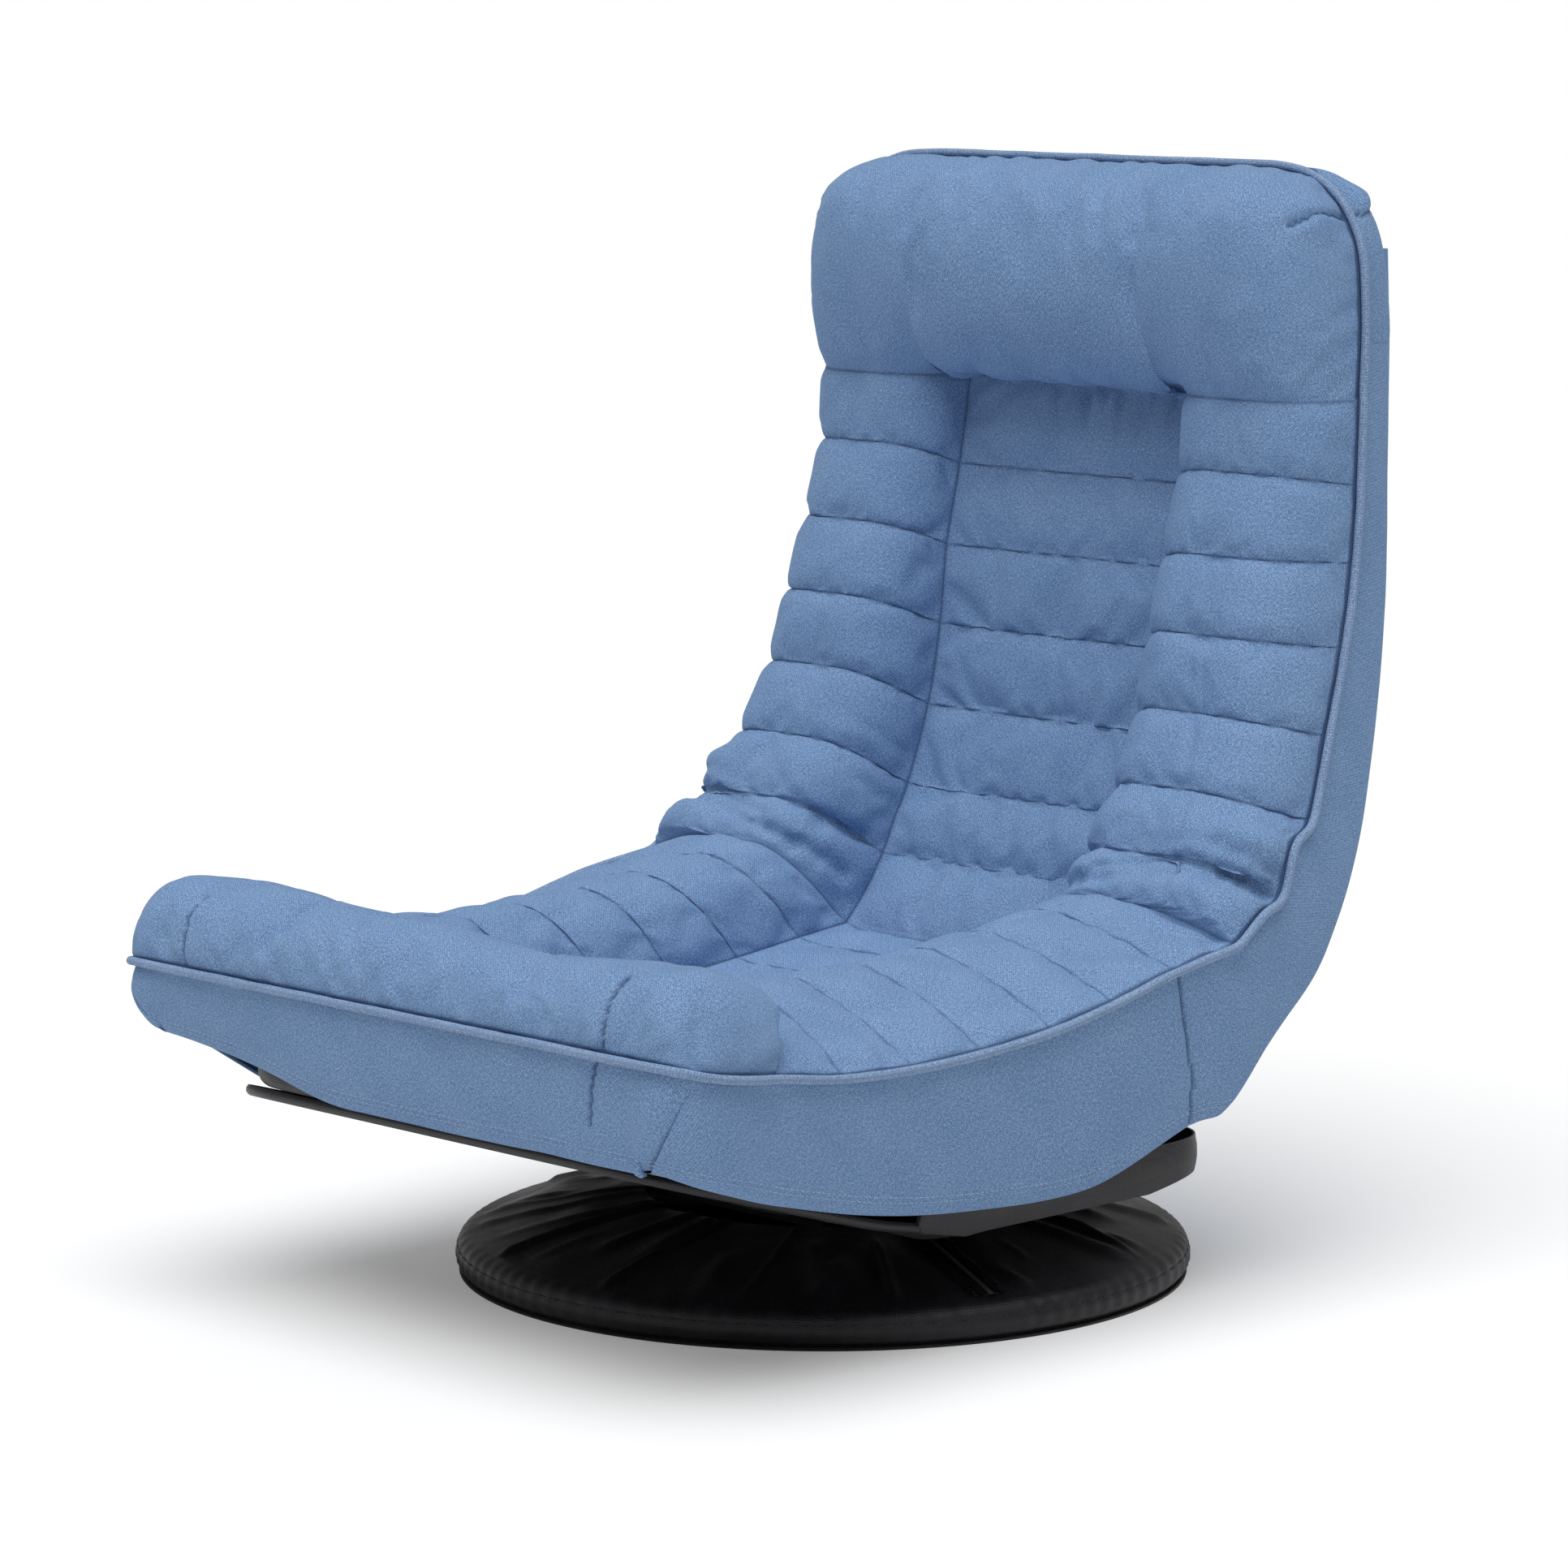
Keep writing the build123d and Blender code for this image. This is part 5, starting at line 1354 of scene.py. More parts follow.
# ------------------------------------------------------------------ piping and outer cloth
@dataclass
class OuterCloth:
    """Piping and the cloth outside it: front apron, side bands, the back's cover and its hood."""

    finishes: Finishes
    cushions: Cushions
    pipe_radius: float = 2.8 * MM
    pipe_proud: float = 2.9 * MM
    cloth: float = 1.6 * MM
    step: float = 4.5 * MM
    bulge: float = 2.5 * MM
    corner_bulge: float = 7 * MM
    squareness: float = 4.6
    hem_turn: float = 7 * MM
    rear_turn: float = 30 * MM
    apron_y: float = -344 * MM
    drawn_up: float = 24 * MM
    stand_out: float = 29 * MM
    hood_z: float = 582 * MM
    # Where the side band ends below and behind for places (y, z) along the piping, in millimetres.
    band: tuple[tuple[tuple[float, float], tuple[float, float, float]], ...] = (
        ((-344, 204), (211, -343, 142)),
        ((-332, 202), (233, -330, 135)),
        ((-310, 199), (241, -302, 126)),
        ((-275, 193), (241.5, -264, 115)),
        ((-190, 187), (243, -186, 98)),
        ((-100, 191), (243.5, -98, 88.5)),
        ((-20, 204), (244, -8, 88)),
        ((45, 217), (245, 77, 113)),
        ((98, 223), (246, 113.5, 119)),
        ((128, 236), (247, 154, 152)),
        ((150, 250), (246, 196, 187)),
        ((170, 272), (243, 223, 219)),
        ((192, 308), (240, 243, 259)),
        ((208, 347), (236, 259, 303)),
        ((226, 397), (232, 272, 365)),
        ((237, 447), (229, 281, 440)),
        ((243, 500), (227, 283, 505)),
        ((245, 582), (226, 283, 582)),
    )
    hood: tuple[Station, ...] = (
        Station((283, 582), (283, 582), (227, 245, 582), 1),
        Station((281.5, 606), (281.5, 606), (226, 245, 604)),
        Station((279, 632), (279, 632), (224.5, 245, 628)),
        Station((276, 655), (276, 655), (219.5, 245, 648)),
        Station((270, 674), (270, 674), (210, 245, 664)),
        Station((262, 685), (262, 685), (200, 245, 674)),
        Station((254, 689.5), (254, 689.5), (192, 245, 679.5)),
        Station((247, 690.5), (247, 690.5), (186, 245, 682.5), 1),
    )
    hood_folds: tuple[Crease, ...] = (
        Crease(((206, 264, 666), (210, 272, 664)), -5.0, 13.0, 0.0),
        Crease(((217, 247, 661), (216, 260, 662), (212, 272, 664)), 2.2, 2.0, 0.7, 0.7),
        Crease(((196, 283, 586), (150, 283, 600), (96, 282, 606)), 1.6, 8.0, 0.0),
        Crease(((222, 262, 586), (226, 258, 602), (226, 256, 618)), 1.4, 5.0, 0.0),
    )
    side_folds: tuple[Crease, ...] = (
        # dart of the side, soft folds behind the kink of the piping
        Crease(((262, 45, 214), (258, 56, 178), (250, 68, 145), (245, 77, 114)), 2.4, 2.2, 0.8, 0.75),
        Crease(((258, 100, 216), (252, 130, 214), (248, 160, 205)), 2.4, 8.0, 0.0),
        Crease(((258, 112, 222), (250, 150, 226), (246, 186, 214)), -2.2, 9.0, 0.0),
        Crease(((255, 60, 190), (250, 100, 176), (246, 140, 170)), 1.2, 10.0, 0.0),
        Crease(((238, 192, 300), (240, 214, 292), (240, 236, 276)), 1.4, 9.0, 0.0),
        Crease(((258, -181, 184), (254, -176, 160), (250, -168, 130)), 1.2, 12.0, 0.0),
        Crease(((256, -288, 192), (252, -272, 160), (246, -262, 128)), 1.5, 9.0, 0.0),
    )
    apron_folds: tuple[Crease, ...] = (
        Crease(((180, -358, 203), (174, -358, 184), (169, -357, 163)), 2.4, 2.0, 0.8, 0.8),
        Crease(((-150, -356, 202), (-154, -352, 176), (-140, -348, 152)), 2.0, 9.0, 0.1),
        Crease(((40, -357, 200), (30, -352, 170), (10, -347, 148)), 1.0, 14.0, 0.0),
    )
    rear_folds: tuple[Crease, ...] = (
        Crease(((-190, 170, 166), (-60, 172, 170), (70, 170, 168), (190, 172, 170)), 3.2, 7.0, 0.7),
        Crease(((180, 205, 196), (60, 208, 202), (-80, 206, 198), (-186, 206, 200)), 2.6, 7.0, 0.5),
        Crease(((-188, 232, 236), (-100, 238, 248), (-20, 238, 246)), 1.8, 8.0, 0.0),
        Crease(((188, 236, 244), (110, 242, 256), (50, 242, 254)), 1.6, 8.0, 0.0),
        Crease(((-186, 280, 560), (-120, 283, 520), (-90, 283, 470)), 1.4, 12.0, 0.0),
        Crease(((186, 280, 560), (130, 283, 524), (96, 283, 480)), 1.2, 12.0, 0.0),
    )

    def apron_seam(self, edge: np.ndarray) -> int:
        """Number of the edge line's point where the apron meets the side band, below the front roll."""
        front = edge[:400]
        return int(np.argmin(np.abs(front[:, 1] - self.apron_y) + 9 * (front[:, 2] > 0.24)))

    def lifted(self, hem: np.ndarray) -> np.ndarray:
        """How the hem is drawn up and stands out at the front corner on the sitter's right."""
        up = smooth(-hem[:, 0], 50 * MM, 215 * MM) * smooth(hem[:, 1], -225 * MM, -325 * MM)
        out = smooth(-hem[:, 0], 120 * MM, 209 * MM) * smooth(hem[:, 1], -300 * MM, -341 * MM)
        return np.stack([-self.stand_out * out, np.zeros_like(up), self.drawn_up * up], axis=-1)

    def turned_row(self, inner: np.ndarray, outer: np.ndarray, inward: np.ndarray, turn: float,
                   swell: float) -> np.ndarray:
        """Cross-section of the outer cloth, from its turned edge back to the piping.

        Args:
            inner: Point on the piping's border.
            outer: Where the cloth turns.
            inward: Level direction into the chair.
            turn: How far the cloth turns in there.
            swell: How far the cloth stands out halfway.

        Returns:
            Points from the turned edge to the piping.
        """
        angle = np.linspace(0, math.pi / 2, 60)
        power = 2 / self.squareness
        depth = (np.cos(angle) ** power)[:, None]
        turned = (turn * (1 - np.sin(angle) ** power))[:, None]
        bulge = swell * np.sin(depth * math.pi)
        return inner + (outer - inner) * depth + inward * (turned - bulge)

    def build_piping(self) -> None:
        """Make one cord of piping all the way around the seat and the back."""
        centre = np.array([0.0, -0.02, 0.3])
        left, right = (self.cushions.edge_line(side) for side in Side)
        top = self.cushions.top_line()
        front = self.cushions.front_line()
        loop = np.vstack([left, top[::-1][1:], right[::-1][1:], front[1:]])
        loop = at_shares(loop, np.linspace(0, 1, round(lengths_along(loop)[-1] / (3.2 * MM))))
        for _ in range(3):
            loop = softened(loop)
            loop[0] = loop[-1] = (loop[1] + loop[-2]) / 2
        outward = loop - centre
        outward[:, 0] *= 3.0
        tangent = unit(np.roll(loop, -1, axis=0) - np.roll(loop, 1, axis=0))
        outward -= tangent * (outward * tangent).sum(axis=1, keepdims=True)
        wobble = value_noise(loop / (22 * MM), 71) * 0.35 * MM
        line = loop + unit(outward) * (self.pipe_proud + wobble)[:, None]
        radii = self.pipe_radius * (1 + 0.05 * value_noise(loop / (9 * MM), 72))
        piece = round_tube("edge_piping", line, radii, 12)
        self.finishes.dress(piece, self.finishes.piping, Slot.BLUE_PIPING)
        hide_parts("seat_piping", "back_piping")
        bend_with_back(piece)
        LOG.info("edge_piping: %.2f m long", lengths_along(line)[-1])

    def build_side_bands(self) -> None:
        """Make the cloth band of each side, from the apron's seam around the hinge to the hood."""
        keys = np.array([pair[0] for pair in self.band]) * MM
        ends = np.array([pair[1] for pair in self.band]) * MM
        for side in Side:
            edge = self.cushions.edge_line(side)
            start = self.apron_seam(edge)
            stop = int(np.argmin(np.abs(edge[:, 2] - self.hood_z) + (edge[:, 1] < 0.2)))
            edge = edge[start : stop + 1]
            count = round(lengths_along(edge)[-1] / self.step)
            edge = at_shares(edge, np.linspace(0, 1, count + 1))
            travelled = lengths_along(edge)
            marks = [travelled[np.argmin(((edge[:, 1:] - key) ** 2).sum(axis=1))] for key in keys]
            place = np.interp(travelled, marks, np.arange(len(marks)))
            outer = through(ends * np.array([side.value, 1, 1]), place)
            outer += self.lifted(outer)
            turning = smooth(place, 7.2, 9.5)
            rounding = smooth(place, 2.4, 0.3)
            columns = []
            for inner, end, behind, front in zip(edge, outer, turning, rounding):
                turn = self.hem_turn + (self.rear_turn - self.hem_turn) * behind
                inward = unit(np.array([-side.value, 1.33 * front, 0.0]))
                swell = self.bulge * (1 - behind) + self.corner_bulge * front
                row = self.turned_row(inner, end, inward, turn, swell)
                columns.append(at_shares(row, sewn_shares(0.1, self.step)))
            grid = np.array(columns).transpose(1, 0, 2)
            if side is Side.RIGHT:
                grid = grid[:, ::-1]
            grid = refined(grid)
            seam = np.zeros(grid.shape[:2])
            folds = self.side_folds if side is Side.LEFT else [fold.mirrored() for fold in self.side_folds]
            grid, seam = self.cushions.press_all(grid, seam, folds)
            seam = np.maximum(seam, piped_shade(grid, ["last"]))
            grid = grid + facing(grid) * (0.7 * MM * value_noise(grid / (38 * MM), 81))[..., None]
            piece = walled(f"side_band_{side.word}", grid, self.cloth, seam)
            self.finishes.dress(piece, self.finishes.fabric, Slot.BLUE_FABRIC)
            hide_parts(f"seat_side_panel_{side.word}", f"back_side_panel_{side.word}")
            bend_with_back(piece)
            self.cushions.borders[f"band_{side.word}"] = grid

    def build_rear(self) -> None:
        """Make the lower cover behind the back, from its hem under the hinge up to the hood."""
        left = self.cushions.borders["band_left"][0]
        first = int(np.argmin(np.abs(left[:, 1] - 113.5 * MM) + 9 * (left[:, 1] < 0.09)))
        border = left[first:]
        border = at_shares(border, np.linspace(0, 1, round(lengths_along(border)[-1] / self.step) + 1))
        across = 2 * sewn_shares(0.4, 6 * MM) - 1
        x = border[:, 0, None] * across
        bulge = 5 * MM * (1 - across**2) * smooth(border[:, 2], 0.2, 0.3)[:, None]
        y = border[:, 1, None] + bulge
        z = np.broadcast_to(border[:, 2, None], x.shape)
        grid = refined(np.stack([x, y, z], axis=-1)[:, ::-1])
        grid, seam = self.cushions.press_all(grid, np.zeros(grid.shape[:2]), self.rear_folds)
        grid = grid + facing(grid) * (0.9 * MM * value_noise(grid / (60 * MM), 91))[..., None]
        piece = walled("back_lower_cover", grid, self.cloth, seam)
        self.finishes.dress(piece, self.finishes.fabric, Slot.BLUE_FABRIC)
        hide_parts("rear_fold_panel", "back_panel_lower")
        bend_with_back(piece)

    def build_hood(self) -> None:
        """Make the hood over the top of the back."""
        run = PaddedRun(self.hood, (0, len(self.hood) - 1), outset=self.rear_turn, roundness=self.squareness,
                        centre_half=60 * MM, creased=False)
        grid = refined(run.tucked(run.whole()[:, ::-1], reach=4 * MM, sides=False))
        shade = piped_shade(grid, ["left", "right", "last"])
        grid, seam = self.cushions.press_all(grid, shade, both_sides(self.hood_folds))
        grid = grid + facing(grid) * (0.8 * MM * value_noise(grid / (50 * MM), 95))[..., None]
        piece = walled("back_hood", grid, self.cloth, seam)
        self.finishes.dress(piece, self.finishes.fabric, Slot.BLUE_FABRIC)
        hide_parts("back_panel_upper")
        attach(piece, "back")

    def build_apron(self) -> None:
        """Make the apron under the front piping, round both corners."""
        ends = []
        for side in Side:
            edge = self.cushions.edge_line(side)
            ends.append(edge[: self.apron_seam(edge) + 1])
        left, right = ends
        line = np.vstack([right[::-1], self.cushions.front_line()[1:-1], left])
        line = at_shares(line, np.linspace(0, 1, round(lengths_along(line)[-1] / self.step) + 1))
        for _ in range(3):
            line = softened(line)
        hem = line.copy()
        corner = smooth(np.abs(line[:, 0]), 195 * MM, 248 * MM)
        hem[:, 0] = line[:, 0] * (1 - 0.165 * corner)
        hem[:, 1] = line[:, 1] + (13 - 4 * corner) * MM
        hem[:, 2] = (139 + 3 * corner) * MM
        hem += self.lifted(hem)
        columns = []
        for inner, end in zip(line, hem):
            turned = float(smooth(abs(inner[0]), 0.19, 0.252))
            inward = unit(np.array([-0.75 * math.copysign(turned, inner[0]), 1, 0]))
            row = self.turned_row(inner, end, inward, self.hem_turn, self.bulge + self.corner_bulge * turned)
            columns.append(at_shares(row, sewn_shares(0.08, self.step)))
        grid = refined(np.array(columns).transpose(1, 0, 2))
        grid, seam = self.cushions.press_all(grid, piped_shade(grid, ["last"]), self.apron_folds)
        grid = grid + facing(grid) * (0.7 * MM * value_noise(grid / (40 * MM), 99))[..., None]
        piece = walled("front_apron_cloth", grid, self.cloth, seam)
        self.finishes.dress(piece, self.finishes.fabric, Slot.BLUE_FABRIC)
        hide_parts("front_apron")
        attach(piece, "seat")
        self.cushions.borders["apron"] = grid


# ------------------------------------------------------------------ stitches
@dataclass
class Sewing:
    """Runs of stitches and zip teeth, repeated along a line by Geometry Nodes."""

    finishes: Finishes

    def tree(self, name: str, material: bpy.types.Material, sides: int) -> bpy.types.NodeTree:
        """Node tree that lays one rounded bead after another along a line.

        Args:
            name: Name of the tree.
            material: What the beads are made of.
            sides: How many sides a bead has.

        Returns:
            The tree, with its named inputs.
        """
        tree = bpy.data.node_groups.new(name, "GeometryNodeTree")
        face = tree.interface
        face.new_socket("Line", in_out="INPUT", socket_type="NodeSocketGeometry")
        for label, value in (("Pitch", 4 * MM), ("Bead Length", 3 * MM), ("Bead Width", 0.8 * MM),
                             ("Bead Height", 0.8 * MM), ("Tilt", 0.0)):
            face.new_socket(label, in_out="INPUT", socket_type="NodeSocketFloat").default_value = value
        face.new_socket("Seed", in_out="INPUT", socket_type="NodeSocketInt").default_value = 1
        face.new_socket("Beads", in_out="OUTPUT", socket_type="NodeSocketGeometry")
        into = add(tree, "NodeGroupInput")
        out = add(tree, "NodeGroupOutput")
        curve = add(tree, "GeometryNodeMeshToCurve", {0: into.outputs["Line"]})
        points = add(tree, "GeometryNodeCurveToPoints", {"Curve": curve.outputs[0],
                                                         "Length": into.outputs["Pitch"]}, mode="LENGTH")
        bead = add(tree, "GeometryNodeMeshUVSphere",
                   {"Segments": sides, "Rings": max(4, sides - 2), "Radius": 0.5})
        size = add(tree, "ShaderNodeCombineXYZ",
                   {0: into.outputs["Bead Width"], 1: into.outputs["Bead Height"],
                    2: into.outputs["Bead Length"]})
        shaped = add(tree, "GeometryNodeTransform", {"Geometry": bead.outputs[0], "Scale": size.outputs[0]})
        turn = add(tree, "FunctionNodeRandomValue", {2: -0.10, 3: 0.10, "Seed": into.outputs["Seed"]},
                   data_type="FLOAT")
        lean = add(tree, "ShaderNodeMath", {0: turn.outputs[1], 1: into.outputs["Tilt"]}, operation="ADD")
        leaning = add(tree, "FunctionNodeAxisAngleToRotation",
                      {"Axis": (0.0, 1.0, 0.0), "Angle": lean.outputs[0]})
        rotation = add(tree, "FunctionNodeRotateRotation",
                       {0: points.outputs["Rotation"], 1: leaning.outputs[0]}, rotation_space="LOCAL")
        scale = add(tree, "FunctionNodeRandomValue", {2: 0.92, 3: 1.08, "Seed": into.outputs["Seed"]},
                    data_type="FLOAT")
        beads = add(tree, "GeometryNodeInstanceOnPoints",
                    {"Points": points.outputs["Points"], "Instance": shaped.outputs[0],
                     "Rotation": rotation.outputs[0], "Scale": scale.outputs[1]})
        real = add(tree, "GeometryNodeRealizeInstances", {0: beads.outputs[0]})
        rounded = add(tree, "GeometryNodeSetShadeSmooth", {0: real.outputs[0]})
        dressed = add(tree, "GeometryNodeSetMaterial", {0: rounded.outputs[0], "Material": material})
        tree.links.new(dressed.outputs[0], out.inputs[0])
        return tree

    def run(self, name: str, lines: Sequence[np.ndarray], finish: Any, slot: Slot, seed: int,
            sides: int = 6, **sizes: float) -> bpy.types.Object:
        """Make one piece of beads along several lines.

        Args:
            name: Name of the piece.
            lines: Lines of points that the beads follow.
            finish: What they are made of.
            slot: The record's slot they stand for; not used.
            seed: Their unevenness.
            sides: How many sides a bead has.
            **sizes: Sizes of the beads in metres, by input name with underscores.

        Returns:
            The piece, with its beads made real.
        """
        points = np.vstack(lines)
        edges = []
        start = 0
        for line in lines:
            edges += [(start + number, start + number + 1) for number in range(len(line) - 1)]
            start += len(line)
        mesh = bpy.data.meshes.new(name)
        mesh.from_pydata(points.tolist(), edges, [])
        guide = bpy.data.objects.new(name + "_guide", mesh)
        bpy.context.scene.collection.objects.link(guide)
        material = self.finishes.material(finish)
        tree = self.tree(name, material, sides)
        modifier = guide.modifiers.new("beads", "NODES")
        modifier.node_group = tree
        keys = {item.name: item.identifier for item in tree.interface.items_tree if item.in_out == "INPUT"}
        modifier[keys["Seed"]] = seed
        for label, value in sizes.items():
            modifier[keys[label.replace("_", " ").title()]] = value
        graph = bpy.context.evaluated_depsgraph_get()
        made = bpy.data.meshes.new_from_object(guide.evaluated_get(graph), depsgraph=graph)
        made.name = name
        bpy.data.objects.remove(guide, do_unlink=True)
        piece = bpy.data.objects.new(name, made)
        bpy.context.scene.collection.objects.link(piece)
        set_uv(made, np.array([vertex.co[:2] for vertex in made.vertices]))
        made.materials.clear()
        made.materials.append(material)
        LOG.info("%s: %d faces", name, len(made.polygons))
        return piece


def row_at(grid: np.ndarray, distance: float, lift: float) -> np.ndarray:
    """Line across the columns of a sheet, a fixed distance from its first row.

    Args:
        grid: Rows by columns of the outer face.
        distance: How far from the first row, along each column.
        lift: How far it stands off the face.

    Returns:
        One point for each column.
    """
    travelled = travelled_over(grid, 0)
    raised = grid + facing(grid) * lift
    row = np.empty((grid.shape[1], 3))
    for column in range(grid.shape[1]):
        for axis in range(3):
            row[column, axis] = np.interp(distance, travelled[:, column], raised[:, column, axis])
    return row


# ------------------------------------------------------------------ base and underside
@dataclass
class BaseCloth:
    """Black cloth of the chair: the tray under the seat, the round base cover and its zip."""

    finishes: Finishes
    sewing: Sewing
    hole: float = 112 * MM
    rim: float = 231 * MM
    top: float = 50 * MM
    foot_r: float = 226 * MM
    foot_z: float = 24 * MM
    zip_angle: float = math.radians(-17)
    zip_start: float = 122 * MM
    zip_end: float = 219 * MM
    folds: int = 40
    columns: int = 720
    tray_hole: float = 116 * MM
    tray_half: float = 205 * MM
    tray_front: float = 331 * MM
    tray_rear: float = 149 * MM
    tray_corner: float = 9.0
    seam_z: float = 15.8 * MM
    # The cover's edge round the base's tube, (distance from the rim, height) in millimetres.
    edge: tuple[tuple[float, float], ...] = (
        (-11.8, 25.3), (-7.5, 24.4), (-4.0, 22.4), (-1.6, 19.8), (-0.4, 17.4), (-0.2, 15.8), (0.8, 14.0),
        (1.0, 11.0), (0.8, 8.2), (-0.6, 5.2), (-3.0, 2.6), (-6.0, 1.1), (-10.0, 0.3),
    )
    # Underside of the tray in (y, z) from the front to the rear, in millimetres.
    tray_line: tuple[tuple[float, float], ...] = ((-331, 132.5), (-81, 57.3), (81, 57.3), (150, 67.2))
    rail_z: float = 94 * MM

    def slope(self) -> float:
        """Angle at which the frame's cover falls from its hole to its foot."""
        return math.atan2(self.top - self.foot_z, self.foot_r - self.hole)

    def slope_z(self, radius: Any) -> np.ndarray:
        """Height of the frame's cover at a radius."""
        fall = (self.top - self.foot_z) / (self.foot_r - self.hole)
        return self.top - (np.asarray(radius) - self.hole) * fall

    def build_cover(self) -> None:
        """Make the gathered cover over the base and its sewn edge."""
        angle = np.linspace(0, 2 * math.pi, self.columns, endpoint=False)
        radii = np.concatenate([
            np.linspace(self.hole, self.hole + 8 * MM, 6),
            np.linspace(self.hole + 11 * MM, self.rim - 19 * MM, 34),
        ])
        rng = np.random.default_rng(7)
        centres = (np.arange(self.folds) + rng.uniform(-0.38, 0.38, self.folds)) * 2 * math.pi / self.folds
        depths = rng.uniform(0.8, 4.2, self.folds) * MM
        widths = rng.uniform(2.6, 8.5, self.folds) * MM
        begins = rng.choice([0.0, 0.0, 0.25, 0.45], self.folds)
        ends = rng.choice([1.0, 1.0, 0.8, 0.55], self.folds)
        leans = rng.uniform(-0.14, 0.14, self.folds)
        off_zip = np.abs((angle - self.zip_angle + math.pi) % (2 * math.pi) - math.pi)
        rows = []
        for radius in radii:
            share = (radius - self.hole) / (self.rim - self.hole)
            puff = 3.4 * MM * math.sin(math.pi * min(1.0, share * 1.04)) ** 0.8
            wave = np.zeros_like(angle)
            for centre, depth, width, begin, end, lean in zip(centres, depths, widths, begins, ends, leans):
                away = (angle - centre - lean * share + math.pi) % (2 * math.pi) - math.pi
                shape = hump(away * radius, 0.0, width * (0.6 + 0.6 * share))
                strength = smooth(share, begin - 0.12, begin + 0.10) * smooth(share, end + 0.14, end - 0.08)
                wave += shape * depth * strength
            near = smooth(off_zip * radius, 13 * MM, 30 * MM)
            lumps = value_noise(np.stack([np.cos(angle), np.sin(angle)], -1) * radius / (26 * MM), 5)
            height = self.slope_z(radius) + near * (puff - 1.2 * MM + wave + 0.9 * MM * lumps)
            rows.append(np.stack([radius * np.cos(angle), radius * np.sin(angle), height], -1))
        gather = np.sin(angle * 96 + 2.5 * np.sin(angle * 7)) * 0.45 * MM
        for beyond, height in self.edge:
            strong = 1.0 if 7 < height < 24 else 0.35
            out = self.rim + beyond * MM + gather * strong * smooth(off_zip * radius, 8 * MM, 20 * MM)
            rows.append(np.stack([out * np.cos(angle), out * np.sin(angle),
                                  np.full_like(angle, height * MM)], -1))
        grid = np.array(rows)[::-1]
        piece = self.ring("base_gathered_cover", grid, 1.2 * MM)
        self.finishes.dress(piece, self.finishes.oxford, Slot.BLACK_CLOTH)
        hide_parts("base_cover")
        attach(piece, "base")
        LOG.info("base cover: %d faces", len(piece.data.polygons))

    def ring(self, name: str, grid: np.ndarray, thickness: float) -> bpy.types.Object:
        """Sheet of cloth whose rows are closed rings, with a real thickness.

        Args:
            name: Name of the piece.
            grid: Rings by points, seen from outside.
            thickness: How thick the cloth is.

        Returns:
            The sheet.
        """
        rows, columns = grid.shape[:2]
        around = np.roll(grid, -1, axis=1) - np.roll(grid, 1, axis=1)
        normal = unit(np.cross(around, np.gradient(grid, axis=0)))
        inner = grid - normal * thickness
        count = rows * columns
        faces = grid_faces(rows, columns, closed=True)
        faces += [tuple(count + number for number in reversed(face)) for face in faces]
        for row, flip in ((0, False), (rows - 1, True)):
            for column in range(columns):
                follow = (column + 1) % columns
                face = (row * columns + follow, row * columns + column,
                        count + row * columns + column, count + row * columns + follow)
                faces.append(tuple(reversed(face)) if flip else face)
        piece = new_object(name, np.vstack([grid.reshape(-1, 3), inner.reshape(-1, 3)]), faces)
        set_uv(piece.data, np.vstack([grid.reshape(-1, 3)[:, :2]] * 2))
        set_layer(piece.data, SEAM_LINE_AND_SHADE_LAYER, np.zeros(2 * count))
        return piece

    def along_zip(self, along: float, across: float, lift: float) -> np.ndarray:
        """Point on the cover by the zip: so far down its slope, to its side and above the cloth."""
        slope = self.slope()
        radius = self.zip_start + along * math.cos(slope) + lift * math.sin(slope)
        height = float(self.slope_z(self.zip_start)) - along * math.sin(slope) + lift * math.cos(slope)
        cosine, sine = math.cos(self.zip_angle), math.sin(self.zip_angle)
        return np.array([radius * cosine - across * sine, radius * sine + across * cosine, height])

    def build_zip(self) -> None:
        """Make the zip's tape with its two raised lips, and its coil."""
        length = (self.zip_end - self.zip_start) / math.cos(self.slope())
        # (across, lift) of one side of the tape, in millimetres
        section = [(12, 0.75), (11.4, 1.25), (9.4, 1.75), (8.0, 2.9), (6.9, 3.5), (5.9, 3.2), (5.3, 2.0),
                   (5.0, 1.15), (2.3, 1.0)]
        profile = even_line([(-across, lift) for across, lift in section]
                            + [(across, lift) for across, lift in section[::-1]], 0.55)
        rows = []
        for along in np.linspace(0, length, 60):
            fade = float(smooth(along, 0.0, 7 * MM) * smooth(along, length, length - 7 * MM))
            sway = 0.35 * MM * math.sin(along / (13 * MM))
            rows.append([self.along_zip(along, across * MM + sway * (abs(across) > 5.5),
                                        (0.8 + (lift - 0.8) * (0.3 + 0.7 * fade)) * MM)
                         for across, lift in profile])
        grid = np.array(rows).transpose(1, 0, 2)[::-1]
        piece = walled("zip_lips", grid, 0.5 * MM)
        self.finishes.dress(piece, self.finishes.lip, Slot.BLACK_CLOTH)
        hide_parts("zip_tape")
        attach(piece, "base")
        coil = [np.array([self.along_zip(along, 0.0, 1.75 * MM) for along in np.linspace(0, length, 30)])]
        teeth = self.sewing.run("zip_coil", coil, self.finishes.plastic, Slot.BLACK_PLASTIC, 3, sides=10,
                                pitch=1.15 * MM, bead_length=0.85 * MM, bead_width=3.9 * MM,
                                bead_height=1.3 * MM)
        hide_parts("zip_teeth")
        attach(teeth, "base")
        sides = [np.array([self.along_zip(along, sign * 10.6 * MM, 1.75 * MM)
                           for along in np.linspace(3 * MM, length - 3 * MM, 40)]) for sign in (-1, 1)]
        turn = np.linspace(0, 2 * math.pi, 400)
        ring = self.rim + 0.1 * MM
        level = np.full_like(turn, self.seam_z)
